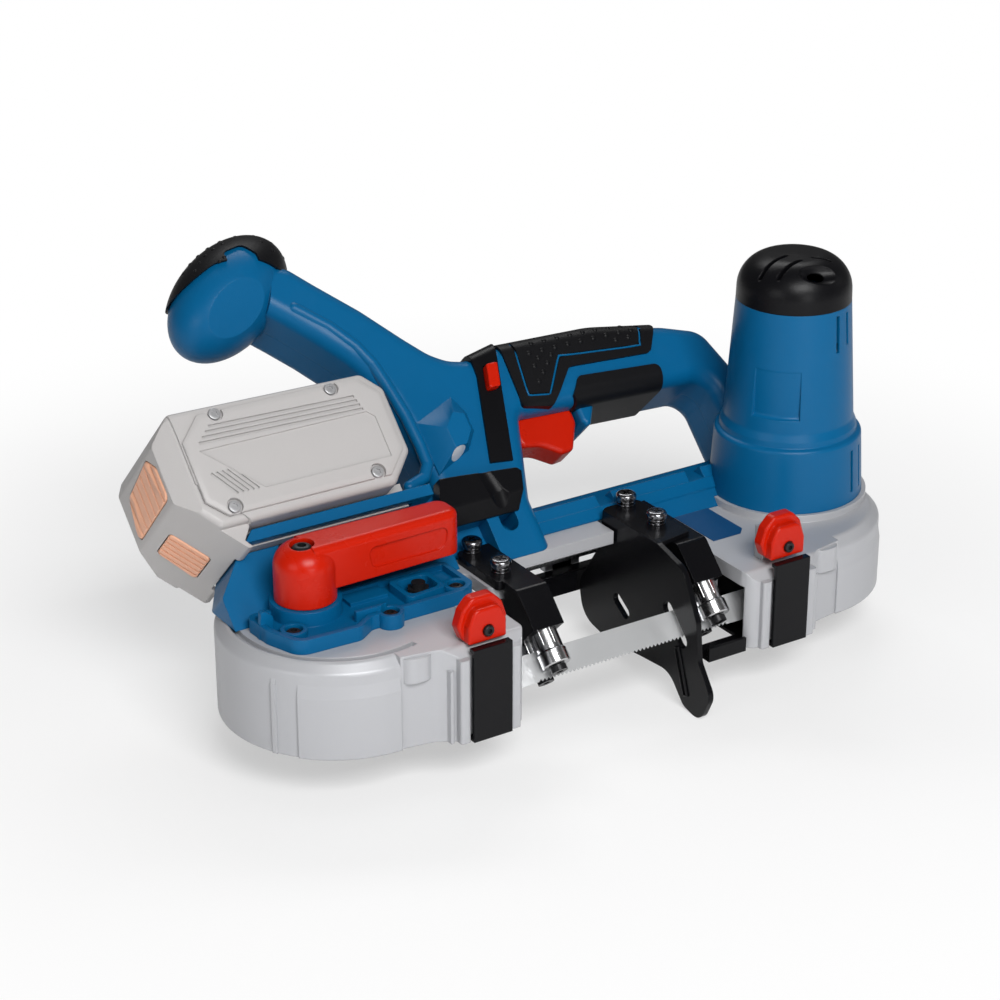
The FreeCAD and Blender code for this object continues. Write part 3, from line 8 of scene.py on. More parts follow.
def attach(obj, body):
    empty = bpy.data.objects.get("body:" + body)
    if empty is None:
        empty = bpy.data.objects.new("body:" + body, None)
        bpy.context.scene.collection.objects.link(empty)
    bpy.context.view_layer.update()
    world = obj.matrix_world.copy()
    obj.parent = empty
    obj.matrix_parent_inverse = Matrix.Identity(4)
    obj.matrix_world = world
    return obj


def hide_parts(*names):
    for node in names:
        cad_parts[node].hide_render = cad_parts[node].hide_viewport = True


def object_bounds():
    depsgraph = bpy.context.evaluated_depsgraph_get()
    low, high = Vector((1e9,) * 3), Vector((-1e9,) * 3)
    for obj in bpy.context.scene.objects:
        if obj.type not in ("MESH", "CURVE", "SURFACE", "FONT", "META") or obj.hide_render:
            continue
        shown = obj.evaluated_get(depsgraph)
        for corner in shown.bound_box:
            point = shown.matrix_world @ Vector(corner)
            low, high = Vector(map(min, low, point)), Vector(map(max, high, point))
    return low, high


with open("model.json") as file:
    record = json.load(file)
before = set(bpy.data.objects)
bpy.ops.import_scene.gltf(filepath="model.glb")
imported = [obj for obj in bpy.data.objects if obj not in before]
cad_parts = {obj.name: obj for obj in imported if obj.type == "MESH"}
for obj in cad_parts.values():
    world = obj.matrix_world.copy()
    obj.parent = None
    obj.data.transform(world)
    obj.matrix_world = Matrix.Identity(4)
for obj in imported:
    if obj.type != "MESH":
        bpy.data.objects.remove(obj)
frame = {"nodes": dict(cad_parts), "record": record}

cad_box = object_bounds()
nodes = frame["nodes"]

# Places are given in the saw's working frame in millimetres: X along the blade from the
# middle of the wheels, Y away from the cut, Z up from the underside of the wheel cover.
# The handle and the battery have a frame of their own, which leans back: X, side, height.
MM = 0.001
SHIFT = Vector((2.475, -39.4, 22.5))
LEAN = math.radians(45)
HANDLE_FOOT = Vector((0, 27.0, 42.0))
TO_METRES = Matrix.Scale(MM, 4)
WORLD = Matrix.Identity(4)
SAW = Matrix.Translation(SHIFT * MM) @ TO_METRES
HANDLE = (Matrix.Translation(SHIFT * MM) @ Matrix.Translation(HANDLE_FOOT * MM)
          @ Matrix.Rotation(-LEAN, 4, "X") @ TO_METRES)


# Shared surface effects

def new_group(name, inputs, outputs):
    group = bpy.data.node_groups.new(name, "ShaderNodeTree")
    for label, kind, value in inputs:
        socket = group.interface.new_socket(label, in_out="INPUT", socket_type=kind)
        socket.default_value = value
    for label, kind in outputs:
        group.interface.new_socket(label, in_out="OUTPUT", socket_type=kind)
    return group, group.nodes.new("NodeGroupInput"), group.nodes.new("NodeGroupOutput")


def join(tree, a, b):
    tree.links.new(a, b)


def math_node(tree, kind, a, b):
    node = tree.nodes.new("ShaderNodeMath")
    node.operation = kind
    for i, v in enumerate((a, b)):
        if hasattr(v, "is_output"):
            join(tree, v, node.inputs[i])
        else:
            node.inputs[i].default_value = v
    return node.outputs[0]


def noise(tree, vector, scale, detail):
    # A noise pattern on the given coordinates.
    node = tree.nodes.new("ShaderNodeTexNoise")
    node.inputs["Scale"].default_value = scale
    node.inputs["Detail"].default_value = detail
    join(tree, vector, node.inputs["Vector"])
    return node


GRAIN_SCALE = 1800.0


def moulded_grain():
    # Fine pitted skin of moulded plastic with a slow drift in gloss.
    group, given, out = new_group(
        "moulded_grain", [("Scale", "NodeSocketFloat", GRAIN_SCALE), ("Drift", "NodeSocketFloat", 0.1)],
        [("Height", "NodeSocketFloat"), ("Mask", "NodeSocketFloat")])
    where = group.nodes.new("ShaderNodeTexCoord").outputs["Object"]
    fine = noise(group, where, scale=GRAIN_SCALE, detail=3.0)
    slow = noise(group, where, scale=22.0, detail=4.0)
    join(group, given.outputs["Scale"], fine.inputs["Scale"])
    join(group, fine.outputs["Fac"], out.inputs["Height"])
    lift = math_node(group, "SUBTRACT", slow.outputs["Fac"], 0.5)
    join(group, math_node(group, "MULTIPLY", lift, given.outputs["Drift"]), out.inputs["Mask"])
    return group


def handling_dust():
    # Dull patches and light scuffs left by use.
    group, given, out = new_group("handling_dust", [("Amount", "NodeSocketFloat", 0.3)],
                                  [("Mask", "NodeSocketFloat")])
    where = group.nodes.new("ShaderNodeTexCoord").outputs["Object"]
    cloud = noise(group, where, scale=60.0, detail=8.0)
    cloud.inputs["Roughness"].default_value = 0.7
    ramp = group.nodes.new("ShaderNodeMapRange")
    ramp.inputs["From Min"].default_value = 0.52
    ramp.inputs["From Max"].default_value = 0.8
    join(group, cloud.outputs["Fac"], ramp.inputs["Value"])
    patches = math_node(group, "MULTIPLY", ramp.outputs["Result"], given.outputs["Amount"])
    join(group, patches, out.inputs["Mask"])
    return group


def drawn_lines():
    # Long fine lines left by grinding along one direction.
    group, given, out = new_group("drawn_lines", [("Stretch", "NodeSocketVector", (20.0, 900.0, 900.0))],
                                  [("Height", "NodeSocketFloat")])
    stretch = group.nodes.new("ShaderNodeVectorMath")
    stretch.operation = "MULTIPLY"
    join(group, group.nodes.new("ShaderNodeTexCoord").outputs["Object"], stretch.inputs[0])
    join(group, given.outputs["Stretch"], stretch.inputs[1])
    lines = noise(group, stretch.outputs[0], scale=1.0, detail=5.0)
    join(group, lines.outputs["Fac"], out.inputs["Height"])
    return group


GRAIN = moulded_grain()
DUST = handling_dust()
LINES = drawn_lines()


def place(tree, group, **values):
    node = tree.nodes.new("ShaderNodeGroup")
    node.node_tree = group
    for k, v in values.items():
        node.inputs[k].default_value = v
    return node


# Finishes

DUST_KEEPS = 0.8
DUST_ADDS = 0.1
GRAIN_STRENGTH = 0.8
COAT_ROUGH = 0.25
EDGE_SAMPLES = 4
EDGE = 0.0007
THIN_EDGE = 0.0005
PACK_EDGE = 0.0006


def finish_of(name, colour, rough, metal=0.0, scale=GRAIN_SCALE, depth=0.00006, drift=0.12, dust=0.15,
              specular=0.5, lines=None, coat=0.0, edge=0.0):
    mat = bpy.data.materials.new(name)
    mat.use_nodes = True
    tree = mat.node_tree
    shader = tree.nodes["Principled BSDF"]
    shader.inputs["Metallic"].default_value = metal
    shader.inputs["Specular IOR Level"].default_value = specular
    shader.inputs["Coat Weight"].default_value = coat
    shader.inputs["Coat Roughness"].default_value = COAT_ROUGH
    grain = place(tree, GRAIN, Scale=scale, Drift=drift)
    wear = place(tree, DUST, Amount=dust)
    pale = [min(1.0, c * DUST_KEEPS + DUST_ADDS) for c in colour]
    tint = tree.nodes.new("ShaderNodeMix")
    tint.data_type = "RGBA"
    tint.inputs["A"].default_value = (*colour, 1)
    tint.inputs["B"].default_value = (*pale, 1)
    join(tree, wear.outputs["Mask"], tint.inputs["Factor"])
    join(tree, tint.outputs["Result"], shader.inputs["Base Color"])
    gloss = math_node(tree, "ADD", grain.outputs["Mask"], rough)
    join(tree, math_node(tree, "ADD", gloss, wear.outputs["Mask"]), shader.inputs["Roughness"])
    height = grain.outputs["Height"]
    if lines:
        drawn = place(tree, LINES, Stretch=lines)
        height = math_node(tree, "ADD", height, drawn.outputs["Height"])
    bump = tree.nodes.new("ShaderNodeBump")
    bump.inputs["Distance"].default_value = depth
    bump.inputs["Strength"].default_value = GRAIN_STRENGTH
    join(tree, height, bump.inputs["Height"])
    if edge:
        # Slightly rounded edges catch the light.
        worn = tree.nodes.new("ShaderNodeBevel")
        worn.samples = EDGE_SAMPLES
        worn.inputs["Radius"].default_value = edge
        join(tree, worn.outputs["Normal"], bump.inputs["Normal"])
    join(tree, bump.outputs["Normal"], shader.inputs["Normal"])
    return mat


BLUE = finish_of("blue_moulding", (0.001, 0.103, 0.252), 0.33, scale=2200.0, depth=0.00007,
                 dust=0.02, specular=0.19, edge=EDGE)
BLACK = finish_of("black_moulding", (0.004, 0.004, 0.005), 0.32, scale=2000.0,
                  dust=0.01, specular=0.16, edge=EDGE)
RUBBER = finish_of("grip_rubber", (0.005, 0.005, 0.006), 0.42, scale=1500.0, depth=0.00008,
                   dust=0.01, specular=0.18)
RED = finish_of("red_moulding", (0.51, 0.011, 0.001), 0.28, scale=2400.0, depth=0.00005,
                dust=0.02, specular=0.22, edge=EDGE)
SILVER = finish_of("silver_coat", (0.44, 0.445, 0.465), 0.38, metal=0.15, scale=2600.0, depth=0.00005,
                   dust=0.05, edge=EDGE)
SHEET = finish_of("black_coated_sheet", (0.004, 0.004, 0.005), 0.24, scale=900.0, depth=0.00004,
                  dust=0.01, specular=0.18, edge=THIN_EDGE)
BLADE = finish_of("ground_band", (0.74, 0.75, 0.76), 0.34, metal=0.65, depth=0.00003,
                  lines=(30.0, 2500.0, 2500.0), dust=0.10)
BRIGHT = finish_of("turned_steel", (0.58, 0.58, 0.59), 0.22, metal=1.0, scale=900.0, depth=0.00002, dust=0.05)
OXIDE = finish_of("black_oxide", (0.020, 0.020, 0.022), 0.32, metal=0.4, scale=1200.0, depth=0.00003,
                  dust=0.03, specular=0.3)
DARK_ZINC = finish_of("dark_zinc", (0.22, 0.22, 0.23), 0.22, metal=1.0, scale=1200.0, depth=0.00002,
                      dust=0.04)
PALE_ZINC = finish_of("pale_zinc", (0.45, 0.45, 0.46), 0.35, metal=0.5, scale=1200.0, depth=0.00002,
                      dust=0.04)
GEAR = finish_of("oiled_gear", (0.32, 0.32, 0.33), 0.28, metal=1.0, scale=900.0, depth=0.00003)
WHEEL = finish_of("machined_casting", (0.50, 0.50, 0.51), 0.38, metal=0.8, scale=700.0, depth=0.00006)
TYRE = finish_of("band_tyre", (0.02, 0.02, 0.02), 0.65, scale=900.0, depth=0.0001)
IRON = finish_of("laminations", (0.16, 0.14, 0.12), 0.45, metal=0.7, depth=0.00005,
                 lines=(60.0, 60.0, 3000.0))
BOARD = finish_of("circuit_board", (0.02, 0.10, 0.04), 0.35, scale=900.0)
PACK = finish_of("pale_grey_moulding", (0.45, 0.435, 0.43), 0.45, scale=2000.0, depth=0.00007,
                 dust=0.05, edge=PACK_EDGE)
ORANGE = finish_of("pale_orange_moulding", (0.80, 0.42, 0.27), 0.42, scale=2000.0, depth=0.00007, dust=0.04)
LABEL = finish_of("blank_label", (0.004, 0.060, 0.170), 0.30, scale=600.0, depth=0.00002,
                  dust=0.03, specular=0.3)
LENS = finish_of("frosted_lens", (0.55, 0.57, 0.60), 0.18, scale=500.0, depth=0.00003, coat=0.6)

by_slot = {
    "blue_plastic": BLUE, "black_rubber": RUBBER, "black_plastic": BLACK, "red_plastic": RED,
    "silver_cast": SILVER, "black_sheet": SHEET, "blade_steel": BLADE, "bright_steel": BRIGHT,
    "gear_steel": GEAR, "black_steel": OXIDE, "wheel_cast": WHEEL, "tyre_rubber": TYRE,
    "core_iron": IRON, "fan_plastic": BLACK, "board_green": BOARD, "clear_lens": LENS,
    "pack_grey": PACK, "pack_orange": ORANGE}
for part in frame["record"]["subparts"]:
    mesh = nodes[part["node"]].data
    mesh.materials.clear()
    mesh.materials.append(by_slot[part["material_slot"]])


# Hand tools

def only(ob):
    bpy.ops.object.select_all(action="DESELECT")
    ob.select_set(True)
    bpy.context.view_layer.objects.active = ob


def open_mesh(ob):
    only(ob)
    bpy.ops.object.mode_set(mode="EDIT")


def close_mesh():
    bpy.ops.object.mode_set(mode="OBJECT")


def take_all():
    bpy.ops.mesh.select_all(action="SELECT")


def started(name):
    # Names a new primitive and puts its place into its mesh.
    ob = bpy.context.object
    ob.name = name
    bpy.ops.object.transform_apply(location=True, rotation=False, scale=True)
    return ob


def block(name, low, high):
    bpy.ops.object.select_all(action="DESELECT")
    middle = [(a + b) / 2 for a, b in zip(low, high)]
    reach = [b - a for a, b in zip(low, high)]
    bpy.ops.mesh.primitive_cube_add(size=1.0, location=middle, scale=reach)
    return started(name)


def drum(name, radius, low, high, sides=32):
    bpy.ops.object.select_all(action="DESELECT")
    bpy.ops.mesh.primitive_cylinder_add(vertices=sides, radius=radius, depth=high - low,
                                        location=(0, 0, (low + high) / 2))
    return started(name)


def trim(ob, cuts):
    # Each cut is a point on the plane and the direction of what falls away.
    open_mesh(ob)
    for point, way in cuts:
        take_all()
        bpy.ops.mesh.bisect(plane_co=point, plane_no=way, use_fill=True, clear_outer=True)
    close_mesh()


def choose(ob, wanted):
    # Selects the faces that a test on their middle and normal picks out.
    bpy.ops.mesh.select_mode(type="FACE")
    bpy.ops.mesh.select_all(action="DESELECT")
    mesh = bmesh.from_edit_mesh(ob.data)
    for face in mesh.faces:
        face.select = wanted(face.calc_center_median(), face.normal)
    bmesh.update_edit_mesh(ob.data)


UPRIGHT = 0.9


def facing_up(middle, normal):
    return normal.z > UPRIGHT


def soften(ob, width, segments=2, angle=40):
    only(ob)
    edge = ob.modifiers.new("soft_edges", "BEVEL")
    edge.width = width
    edge.segments = segments
    edge.limit_method = "ANGLE"
    edge.angle_limit = math.radians(angle)
    bpy.ops.object.modifier_apply(modifier=edge.name)


def carve(ob, tools):
    for tool in tools:
        only(ob)
        cut = ob.modifiers.new("carve", "BOOLEAN")
        cut.operation = "DIFFERENCE"
        cut.solver = "EXACT"
        cut.object = tool
        bpy.ops.object.modifier_apply(modifier=cut.name)
        bpy.data.objects.remove(tool)


def settle(ob, where):
    only(ob)
    ob.matrix_world = where
    bpy.ops.object.transform_apply(location=True, rotation=True, scale=True)


def outward(ob):
    open_mesh(ob)
    take_all()
    bpy.ops.mesh.normals_make_consistent(inside=False)
    close_mesh()


def twin(ob, name):
    other = ob.copy()
    other.data = ob.data.copy()
    other.name = name
    bpy.context.scene.collection.objects.link(other)
    return other


def node_copy(node, name):
    # A copy of a CAD piece, merged, to be worked further.
    ob = twin(nodes[node], name)
    ob.parent = None
    ob.matrix_world = WORLD
    open_mesh(ob)
    take_all()
    bpy.ops.mesh.remove_doubles(threshold=1e-6)
    close_mesh()
    return ob


def gather(obs, name):
    only(obs[0])
    for ob in obs:
        ob.select_set(True)
    bpy.ops.object.join()
    obs[0].name = name
    obs[0].data.name = name
    return obs[0]


def set_out(model, name, places):
    # One piece from copies of a model, one at each place. The model is taken away.
    made = []
    for where in places:
        other = twin(model, name)
        settle(other, where)
        made.append(other)
    bpy.data.objects.remove(model)
    return gather(made, name)


FLAT_SMOOTH = 34
ROUND_SMOOTH = 60


def fit_out(ob, body, finish, smooth=FLAT_SMOOTH):
    only(ob)
    bpy.ops.object.shade_smooth_by_angle(angle=math.radians(smooth))
    ob.data.materials.clear()
    ob.data.materials.append(finish)
    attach(ob, body)
    return ob


def faced(frame_of, point, normal):
    # A place on a face: the piece's own Z goes along the normal.
    turn = Vector(normal).to_track_quat("Z", "Y").to_matrix().to_4x4()
    return frame_of @ Matrix.Translation(Vector(point)) @ turn


def land(node, frame_of, start, way):
    # First point of a node met from a start along a way in the given frame, with its normal.
    origin = frame_of @ Vector(start)
    direction = (frame_of.to_3x3() @ Vector(way)).normalized()
    hit, point, normal, face = nodes[node].ray_cast(origin, direction)
    return (point, normal) if hit else None


def bar_along(name, a, b, width, low, high):
    # Straight bar from a to b in the plane, from low to high.
    a, b = Vector(a), Vector(b)
    run = (b - a).length
    ob = block(name, (-width / 2, -width / 2, low), (run + width / 2, width / 2, high))
    turn = Matrix.Rotation(math.atan2(b.y - a.y, b.x - a.x), 4, "Z")
    settle(ob, Matrix.Translation((a.x, a.y, 0)) @ turn)
    return ob


# Screws

STAR_STEP = math.radians(30)
STAR_WAIST = 0.68
STAR_SHARE = 0.58
CROWN_SHARE = 0.35
FLAT_R = 4.2
FLAT_HIGH = 0.8
FLAT_ROUND = 0.2
SPRING_R = 3.9
SPRING_LOW = 0.9
SPRING_HIGH = 2.5
SPRING_ROUND = 0.45
SPRING_SPLIT = ((-0.4, 1.0, 0), (0.5, 6.0, 4))
CROSS_R = 4.6
CROSS_LOW = 2.6
CROSS_HIGH = 5.8
CROSS_CROWN = 1.6
CROSS_ROUND = 0.12
SLOT_REACH = 2.3
SLOT_HALF = 0.5
SLOT_FLOOR = 4.2
ABOVE_HEAD = 8


def star_key(radius, low, high):
    # Six-lobed driver recess.
    ob = drum("star_key", radius, low, high, 12)
    open_mesh(ob)
    bpy.ops.mesh.select_mode(type="VERT")
    bpy.ops.mesh.select_all(action="DESELECT")
    mesh = bmesh.from_edit_mesh(ob.data)
    for v in mesh.verts:
        v.select = round(math.atan2(v.co.y, v.co.x) / STAR_STEP) % 2 == 0
    bmesh.update_edit_mesh(ob.data)
    bpy.ops.transform.resize(value=(STAR_WAIST, STAR_WAIST, 1.0), center_override=(0, 0, 0))
    close_mesh()
    return ob


def round_head(name, radius, low, high, crown):
    # Pan head: a drum whose rim is drawn in over a rounded shoulder.
    ob = drum(name, radius, low, high)
    open_mesh(ob)
    choose(ob, facing_up)
    bpy.ops.mesh.bevel(offset=crown, segments=4, affect="EDGES")
    close_mesh()
    return ob


def cross_screw(name):
    # Cross-headed screw on its split spring washer and flat washer, foot at zero.
    flat = drum(name + "_flat", FLAT_R, 0, FLAT_HIGH)
    soften(flat, FLAT_ROUND)
    spring = drum(name + "_spring", SPRING_R, SPRING_LOW, SPRING_HIGH)
    soften(spring, SPRING_ROUND)
    carve(spring, [block("split", *SPRING_SPLIT)])
    head = round_head(name, CROSS_R, CROSS_LOW, CROSS_HIGH, CROSS_CROWN)
    soften(head, CROSS_ROUND, 1)
    carve(head, [block("slot_a", (-SLOT_REACH, -SLOT_HALF, SLOT_FLOOR), (SLOT_REACH, SLOT_HALF, ABOVE_HEAD)),
                 block("slot_b", (-SLOT_HALF, -SLOT_REACH, SLOT_FLOOR), (SLOT_HALF, SLOT_REACH, ABOVE_HEAD))])
    return gather([head, spring, flat], name)


def star_screw(name, radius, height):
    head = round_head(name, radius, 0, height, height * CROWN_SHARE)
    carve(head, [star_key(radius * STAR_SHARE, height * CROWN_SHARE, height + 2)])
    return head


# Guide bracket screws, each turned a little differently

EAR_X = 40.5
EARS = ((-EAR_X, 46.0), (EAR_X, 48.0))
EAR_SCREW_Y = (10.0, -13.0)
FIRST_TURN = 0.7
TURN_BY_X = 0.02
TURN_BY_Y = 0.05
places = []
for x, z in EARS:
    for y in EAR_SCREW_Y:
        turn = FIRST_TURN + x * TURN_BY_X + y * TURN_BY_Y
        places.append(SAW @ Matrix.Translation((x, y, z)) @ Matrix.Rotation(turn, 4, "Z"))
bracket_heads = set_out(cross_screw("bracket_screw"), "bracket_screw_heads", places)
fit_out(bracket_heads, "frame", DARK_ZINC)
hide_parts("bracket_screws")

# Latch screws

LATCH_SCREW_Y = -58.6
LATCH_SCREW_R = 2.35
LATCH_SCREW_H = 1.5
LATCH_SCREWS = (("left", -75.9, 47.4), ("right", 77.9, 44.9))
for side, x, z in LATCH_SCREWS:
    head = star_screw("latch_screw_" + side, LATCH_SCREW_R, LATCH_SCREW_H)
    settle(head, faced(SAW, (x, LATCH_SCREW_Y, z), (0, -1, 0)))
    fit_out(head, "latch_" + side, OXIDE)

# Battery pack: a raised ribbed panel on each side, with a bare label field and four screws

PACK_FACE = 36.0
PANEL_SINK = 0.4
PANEL_RISE = 1.3
PANEL_CROWN = 0.5
PANEL_TOP = PACK_FACE + PANEL_RISE + PANEL_CROWN
PANEL_LOW = (-158, 26)
PANEL_HIGH = (-64, 71.4)
PANEL_MIDDLE = (-111, 49)
PANEL_NEAR = (30, 10)
PANEL_CORNERS = (((-150, 26), (-10, -8)), ((-158, 61), (-9.5, 7)),
                 ((-74, 26), (10, -10)), ((-64, 63), (8, 7.5)))
PANEL_RIM = 2.2
PANEL_ROUND = 0.35
PANEL_ROUND_FROM = 12
PANEL_SMOOTH = 25
RIB_COUNT = 4
RIB_LEFT = (-144.2, 65.2)
RIB_RIGHT = (-77.4, 63.4)
RIB_DROP = 2.1
RIB_LEFT_STEP = -2.2
RIB_RIGHT_STEP = 0.6
SLANT_COUNT = 5
SLANT_TOP = (-141.4, 44.6)
SLANT_FOOT = (-134.1, 34.6)
SLANT_STEP = -2.4
RIB_WIDTH = 1.1
RIB_DEPTH = 0.9
FIELD_DEPTH = 0.7
RIB_FLOOR = PANEL_TOP - RIB_DEPTH
FIELD_FLOOR = PANEL_TOP - FIELD_DEPTH
ABOVE_PANEL = PANEL_TOP + 2
FIELD_LOW = (-153.5, 33.8)
FIELD_HIGH = (-71, 55.6)
FIELD_CORNERS = (((-74, 55.6), (21.6, 3)), ((-130.7, 33.8), (-11.7, -7.8)))
PACK_SCREWS = ((-146.7, 29.2), (-79.8, 28.6), (-139.7, 70.2), (-85.6, 69.4))
PACK_SCREW_R = 2.7
PACK_SCREW_H = 1.4
SCREW_SEAT_R = 3.5
SEAT_SINK = 0.05


def cut_corners(ob, corners):
    trim(ob, [((x, w, 0), (across, up, 0)) for (x, w), (across, up) in corners])


def panel_middle(middle, normal):
    along = abs(middle.x - PANEL_MIDDLE[0]) < PANEL_NEAR[0]
    across = abs(middle.y - PANEL_MIDDLE[1]) < PANEL_NEAR[1]
    return along and across and facing_up(middle, normal)


panel = block("pack_panel", (*PANEL_LOW, PACK_FACE - PANEL_SINK), (*PANEL_HIGH, PACK_FACE + PANEL_RISE))
cut_corners(panel, PANEL_CORNERS)
open_mesh(panel)
choose(panel, facing_up)
bpy.ops.mesh.inset(thickness=PANEL_RIM, depth=0)
close_mesh()
open_mesh(panel)
choose(panel, panel_middle)
bpy.ops.transform.translate(value=(0, 0, PANEL_CROWN))
close_mesh()
soften(panel, PANEL_ROUND, angle=PANEL_ROUND_FROM)
tools = []
for i in range(RIB_COUNT):
    left = (RIB_LEFT[0] + RIB_LEFT_STEP * i, RIB_LEFT[1] - RIB_DROP * i)
    right = (RIB_RIGHT[0] + RIB_RIGHT_STEP * i, RIB_RIGHT[1] - RIB_DROP * i)
    tools.append(bar_along("rib", left, right, RIB_WIDTH, RIB_FLOOR, ABOVE_PANEL))
for i in range(SLANT_COUNT):
    top = (SLANT_TOP[0] + SLANT_STEP * i, SLANT_TOP[1])
    foot = (SLANT_FOOT[0] + SLANT_STEP * i, SLANT_FOOT[1])
    tools.append(bar_along("slant_rib", top, foot, RIB_WIDTH, RIB_FLOOR, ABOVE_PANEL))
field = block("label_field", (*FIELD_LOW, FIELD_FLOOR), (*FIELD_HIGH, ABOVE_PANEL))
cut_corners(field, FIELD_CORNERS)
tools.append(field)
for x, w in PACK_SCREWS:
    tool = drum("seat", SCREW_SEAT_R, PACK_FACE - SEAT_SINK, ABOVE_PANEL)
    settle(tool, Matrix.Translation((x, w, 0)))
    tools.append(tool)
carve(panel, tools)
rear_panel = twin(panel, "pack_panel_rear")
settle(panel, HANDLE @ Matrix.Rotation(math.radians(90), 4, "X"))
fit_out(panel, "battery", PACK, PANEL_SMOOTH)
# The rear panel is the front one mirrored through the handle's middle plane.
settle(rear_panel, HANDLE @ Matrix(((1, 0, 0, 0), (0, 0, 1, 0), (0, 1, 0, 0), (0, 0, 0, 1))))
outward(rear_panel)
fit_out(rear_panel, "battery", PACK, PANEL_SMOOTH)
places = [faced(HANDLE, (x, s * PACK_FACE, w), (0, s, 0)) for x, w in PACK_SCREWS for s in (-1, 1)]
pack_heads = set_out(star_screw("pack_screw", PACK_SCREW_R, PACK_SCREW_H), "pack_screw_heads", places)
fit_out(pack_heads, "battery", PALE_ZINC)

# Grip grooves in the two release buttons

GROOVE_WIDTH = 1.5
GROOVE_ROUND = 0.4
UPPER_ROWS = [-23.0 + 6.6 * i for i in range(6)]
UPPER_LOW = (-169.6, 39)
UPPER_HIGH = (-168.1, 68)
LOWER_ROWS = [-3.9 + 3.9 * i for i in range(5)]
LOWER_LOW = (3, -1.8)
LOWER_HIGH = (28, 0.1)
LOWER_EDGE = (-168, 0, 39.1)
LOWER_SLOPE = math.atan2(0.756, 0.654)


def grooves(rows, low, high, where):
    made = []
    for y in rows:
        tool = block("groove", (low[0], y, low[1]), (high[0], y + GROOVE_WIDTH, high[1]))
        soften(tool, GROOVE_ROUND)
        settle(tool, where)
        made.append(tool)
    return made


button = node_copy("battery_button_upper", "release_button_upper")
carve(button, grooves(UPPER_ROWS, UPPER_LOW, UPPER_HIGH, HANDLE))
fit_out(button, "button_upper", ORANGE)
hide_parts("battery_button_upper")
button = node_copy("battery_button_lower", "release_button_lower")
slant = Matrix.Translation(LOWER_EDGE) @ Matrix.Rotation(LOWER_SLOPE, 4, "Y")
carve(button, grooves(LOWER_ROWS, LOWER_LOW, LOWER_HIGH, HANDLE @ slant))
fit_out(button, "button_lower", ORANGE)
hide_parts("battery_button_lower")

# Raised grip dots

GRIP_SIDE = 70
GRIP_RING = 80
GRIP_AXIS = 60
DOT_FIRST = 23.2
DOT_PITCH = 7
DOT_STAGGER = 3.5
GRIP_ROWS = ((70.6, [DOT_FIRST + DOT_PITCH * i for i in range(9)]), (67.4, [26.7, 33.6]),
             (64.1, [23.2, 30.2]), (60.4, [26.2]), (56.6, [22.2]), (67.2, [69.0, 76.0]))
GRIP_TILTS = (38, 62, 90, 118, 142)
KNOB_TURN = 20
KNOB_STEP = 15
KNOB_STAGGER = 7.5
KNOB_LIFTS = (-62, -38, -14, 14, 38, 62)
DOT_SINK = 0.0001
KNOB_MIDDLE = Vector((-96.5, 0, 134))
KNOB_REACH = 90


def grip_side(x, w, s):
    # Point of the top cover met level from one side of the handle.
    return land("top_pad", HANDLE, (x, GRIP_SIDE * s, w), (0, -s, 0))


def grip_ring(x, tilt):
    # Point of the top cover met on the way to the grip's axis, from a turn about it.
    a = math.radians(tilt)
    start = (x, -GRIP_RING * math.cos(a), GRIP_AXIS + GRIP_RING * math.sin(a))
    return land("top_pad", HANDLE, start, (0, math.cos(a), -math.sin(a)))


def knob_spot(turn, lift):
    # Point of the knob cover met on the way to the knob's middle.
    turn, lift = math.radians(turn), math.radians(lift)
    way = Vector((math.cos(turn) * math.cos(lift), math.sin(lift), math.sin(turn) * math.cos(lift)))
    return land("knob_pad", HANDLE, KNOB_MIDDLE + way * KNOB_REACH, -way)


def dots(name, spots, radius, rise):
    # Low round dots, left out where a tip would pass the CAD box.
    bpy.ops.object.select_all(action="DESELECT")
    bpy.ops.mesh.primitive_uv_sphere_add(segments=10, ring_count=6, radius=radius)
    model = bpy.context.object
    trim(model, [((0, 0, 0), (0, 0, -1))])
    open_mesh(model)
    take_all()
    bpy.ops.transform.resize(value=(1, 1, rise / radius), center_override=(0, 0, 0))
    close_mesh()
    places = []
    for point, normal in filter(None, spots):
        tip = point + normal * rise * MM
        if all(low < v < high for low, v, high in zip(cad_box[0], tip, cad_box[1])):
            places.append(faced(WORLD, point - normal * DOT_SINK, normal) @ TO_METRES)
    fit_out(set_out(model, name, places), "frame", RUBBER, ROUND_SMOOTH)


spots = [grip_side(x, w, s) for s in (-1, 1) for w, xs in GRIP_ROWS for x in xs]
for row, tilt in enumerate(GRIP_TILTS):
    stagger = DOT_STAGGER if row % 2 == 0 else 0
    spots += [grip_ring(DOT_FIRST + DOT_PITCH * i + stagger, tilt) for i in range(8)]
dots("grip_dots", spots, radius=1.3, rise=0.7)
spots = []
for row, lift in enumerate(KNOB_LIFTS):
    stagger = KNOB_STAGGER if row % 2 else 0
    spots += [knob_spot(KNOB_TURN + KNOB_STEP * i + stagger, lift) for i in range(9)]
dots("knob_dots", spots, radius=1.0, rise=0.5)

# Coloured line in the top cover's channel, over both sides and across the top at each end

CHANNEL = ((17, 73.2), (14.2, 51.4), (25.2, 49.7), (37.1, 66.2), (80.1, 62.1), (83.8, 70.6))
CHANNEL_STEPS = 5
CHANNEL_TURNS = (28, 45, 60, 75, 90, 105, 120, 135, 152)
CHANNEL_BACK = 84.3
CHANNEL_FRONT = CHANNEL[0][0]
LINE_RADIUS = 0.00052
LINE_LIFT = 0.0001


def channel_side(s):
    made = []
    for (x0, w0), (x1, w1) in zip(CHANNEL, CHANNEL[1:]):
        for i in range(CHANNEL_STEPS):
            f = i / CHANNEL_STEPS
            made.append(grip_side(x0 + (x1 - x0) * f, w0 + (w1 - w0) * f, s))
    made.append(grip_side(*CHANNEL[-1], s))
    return made


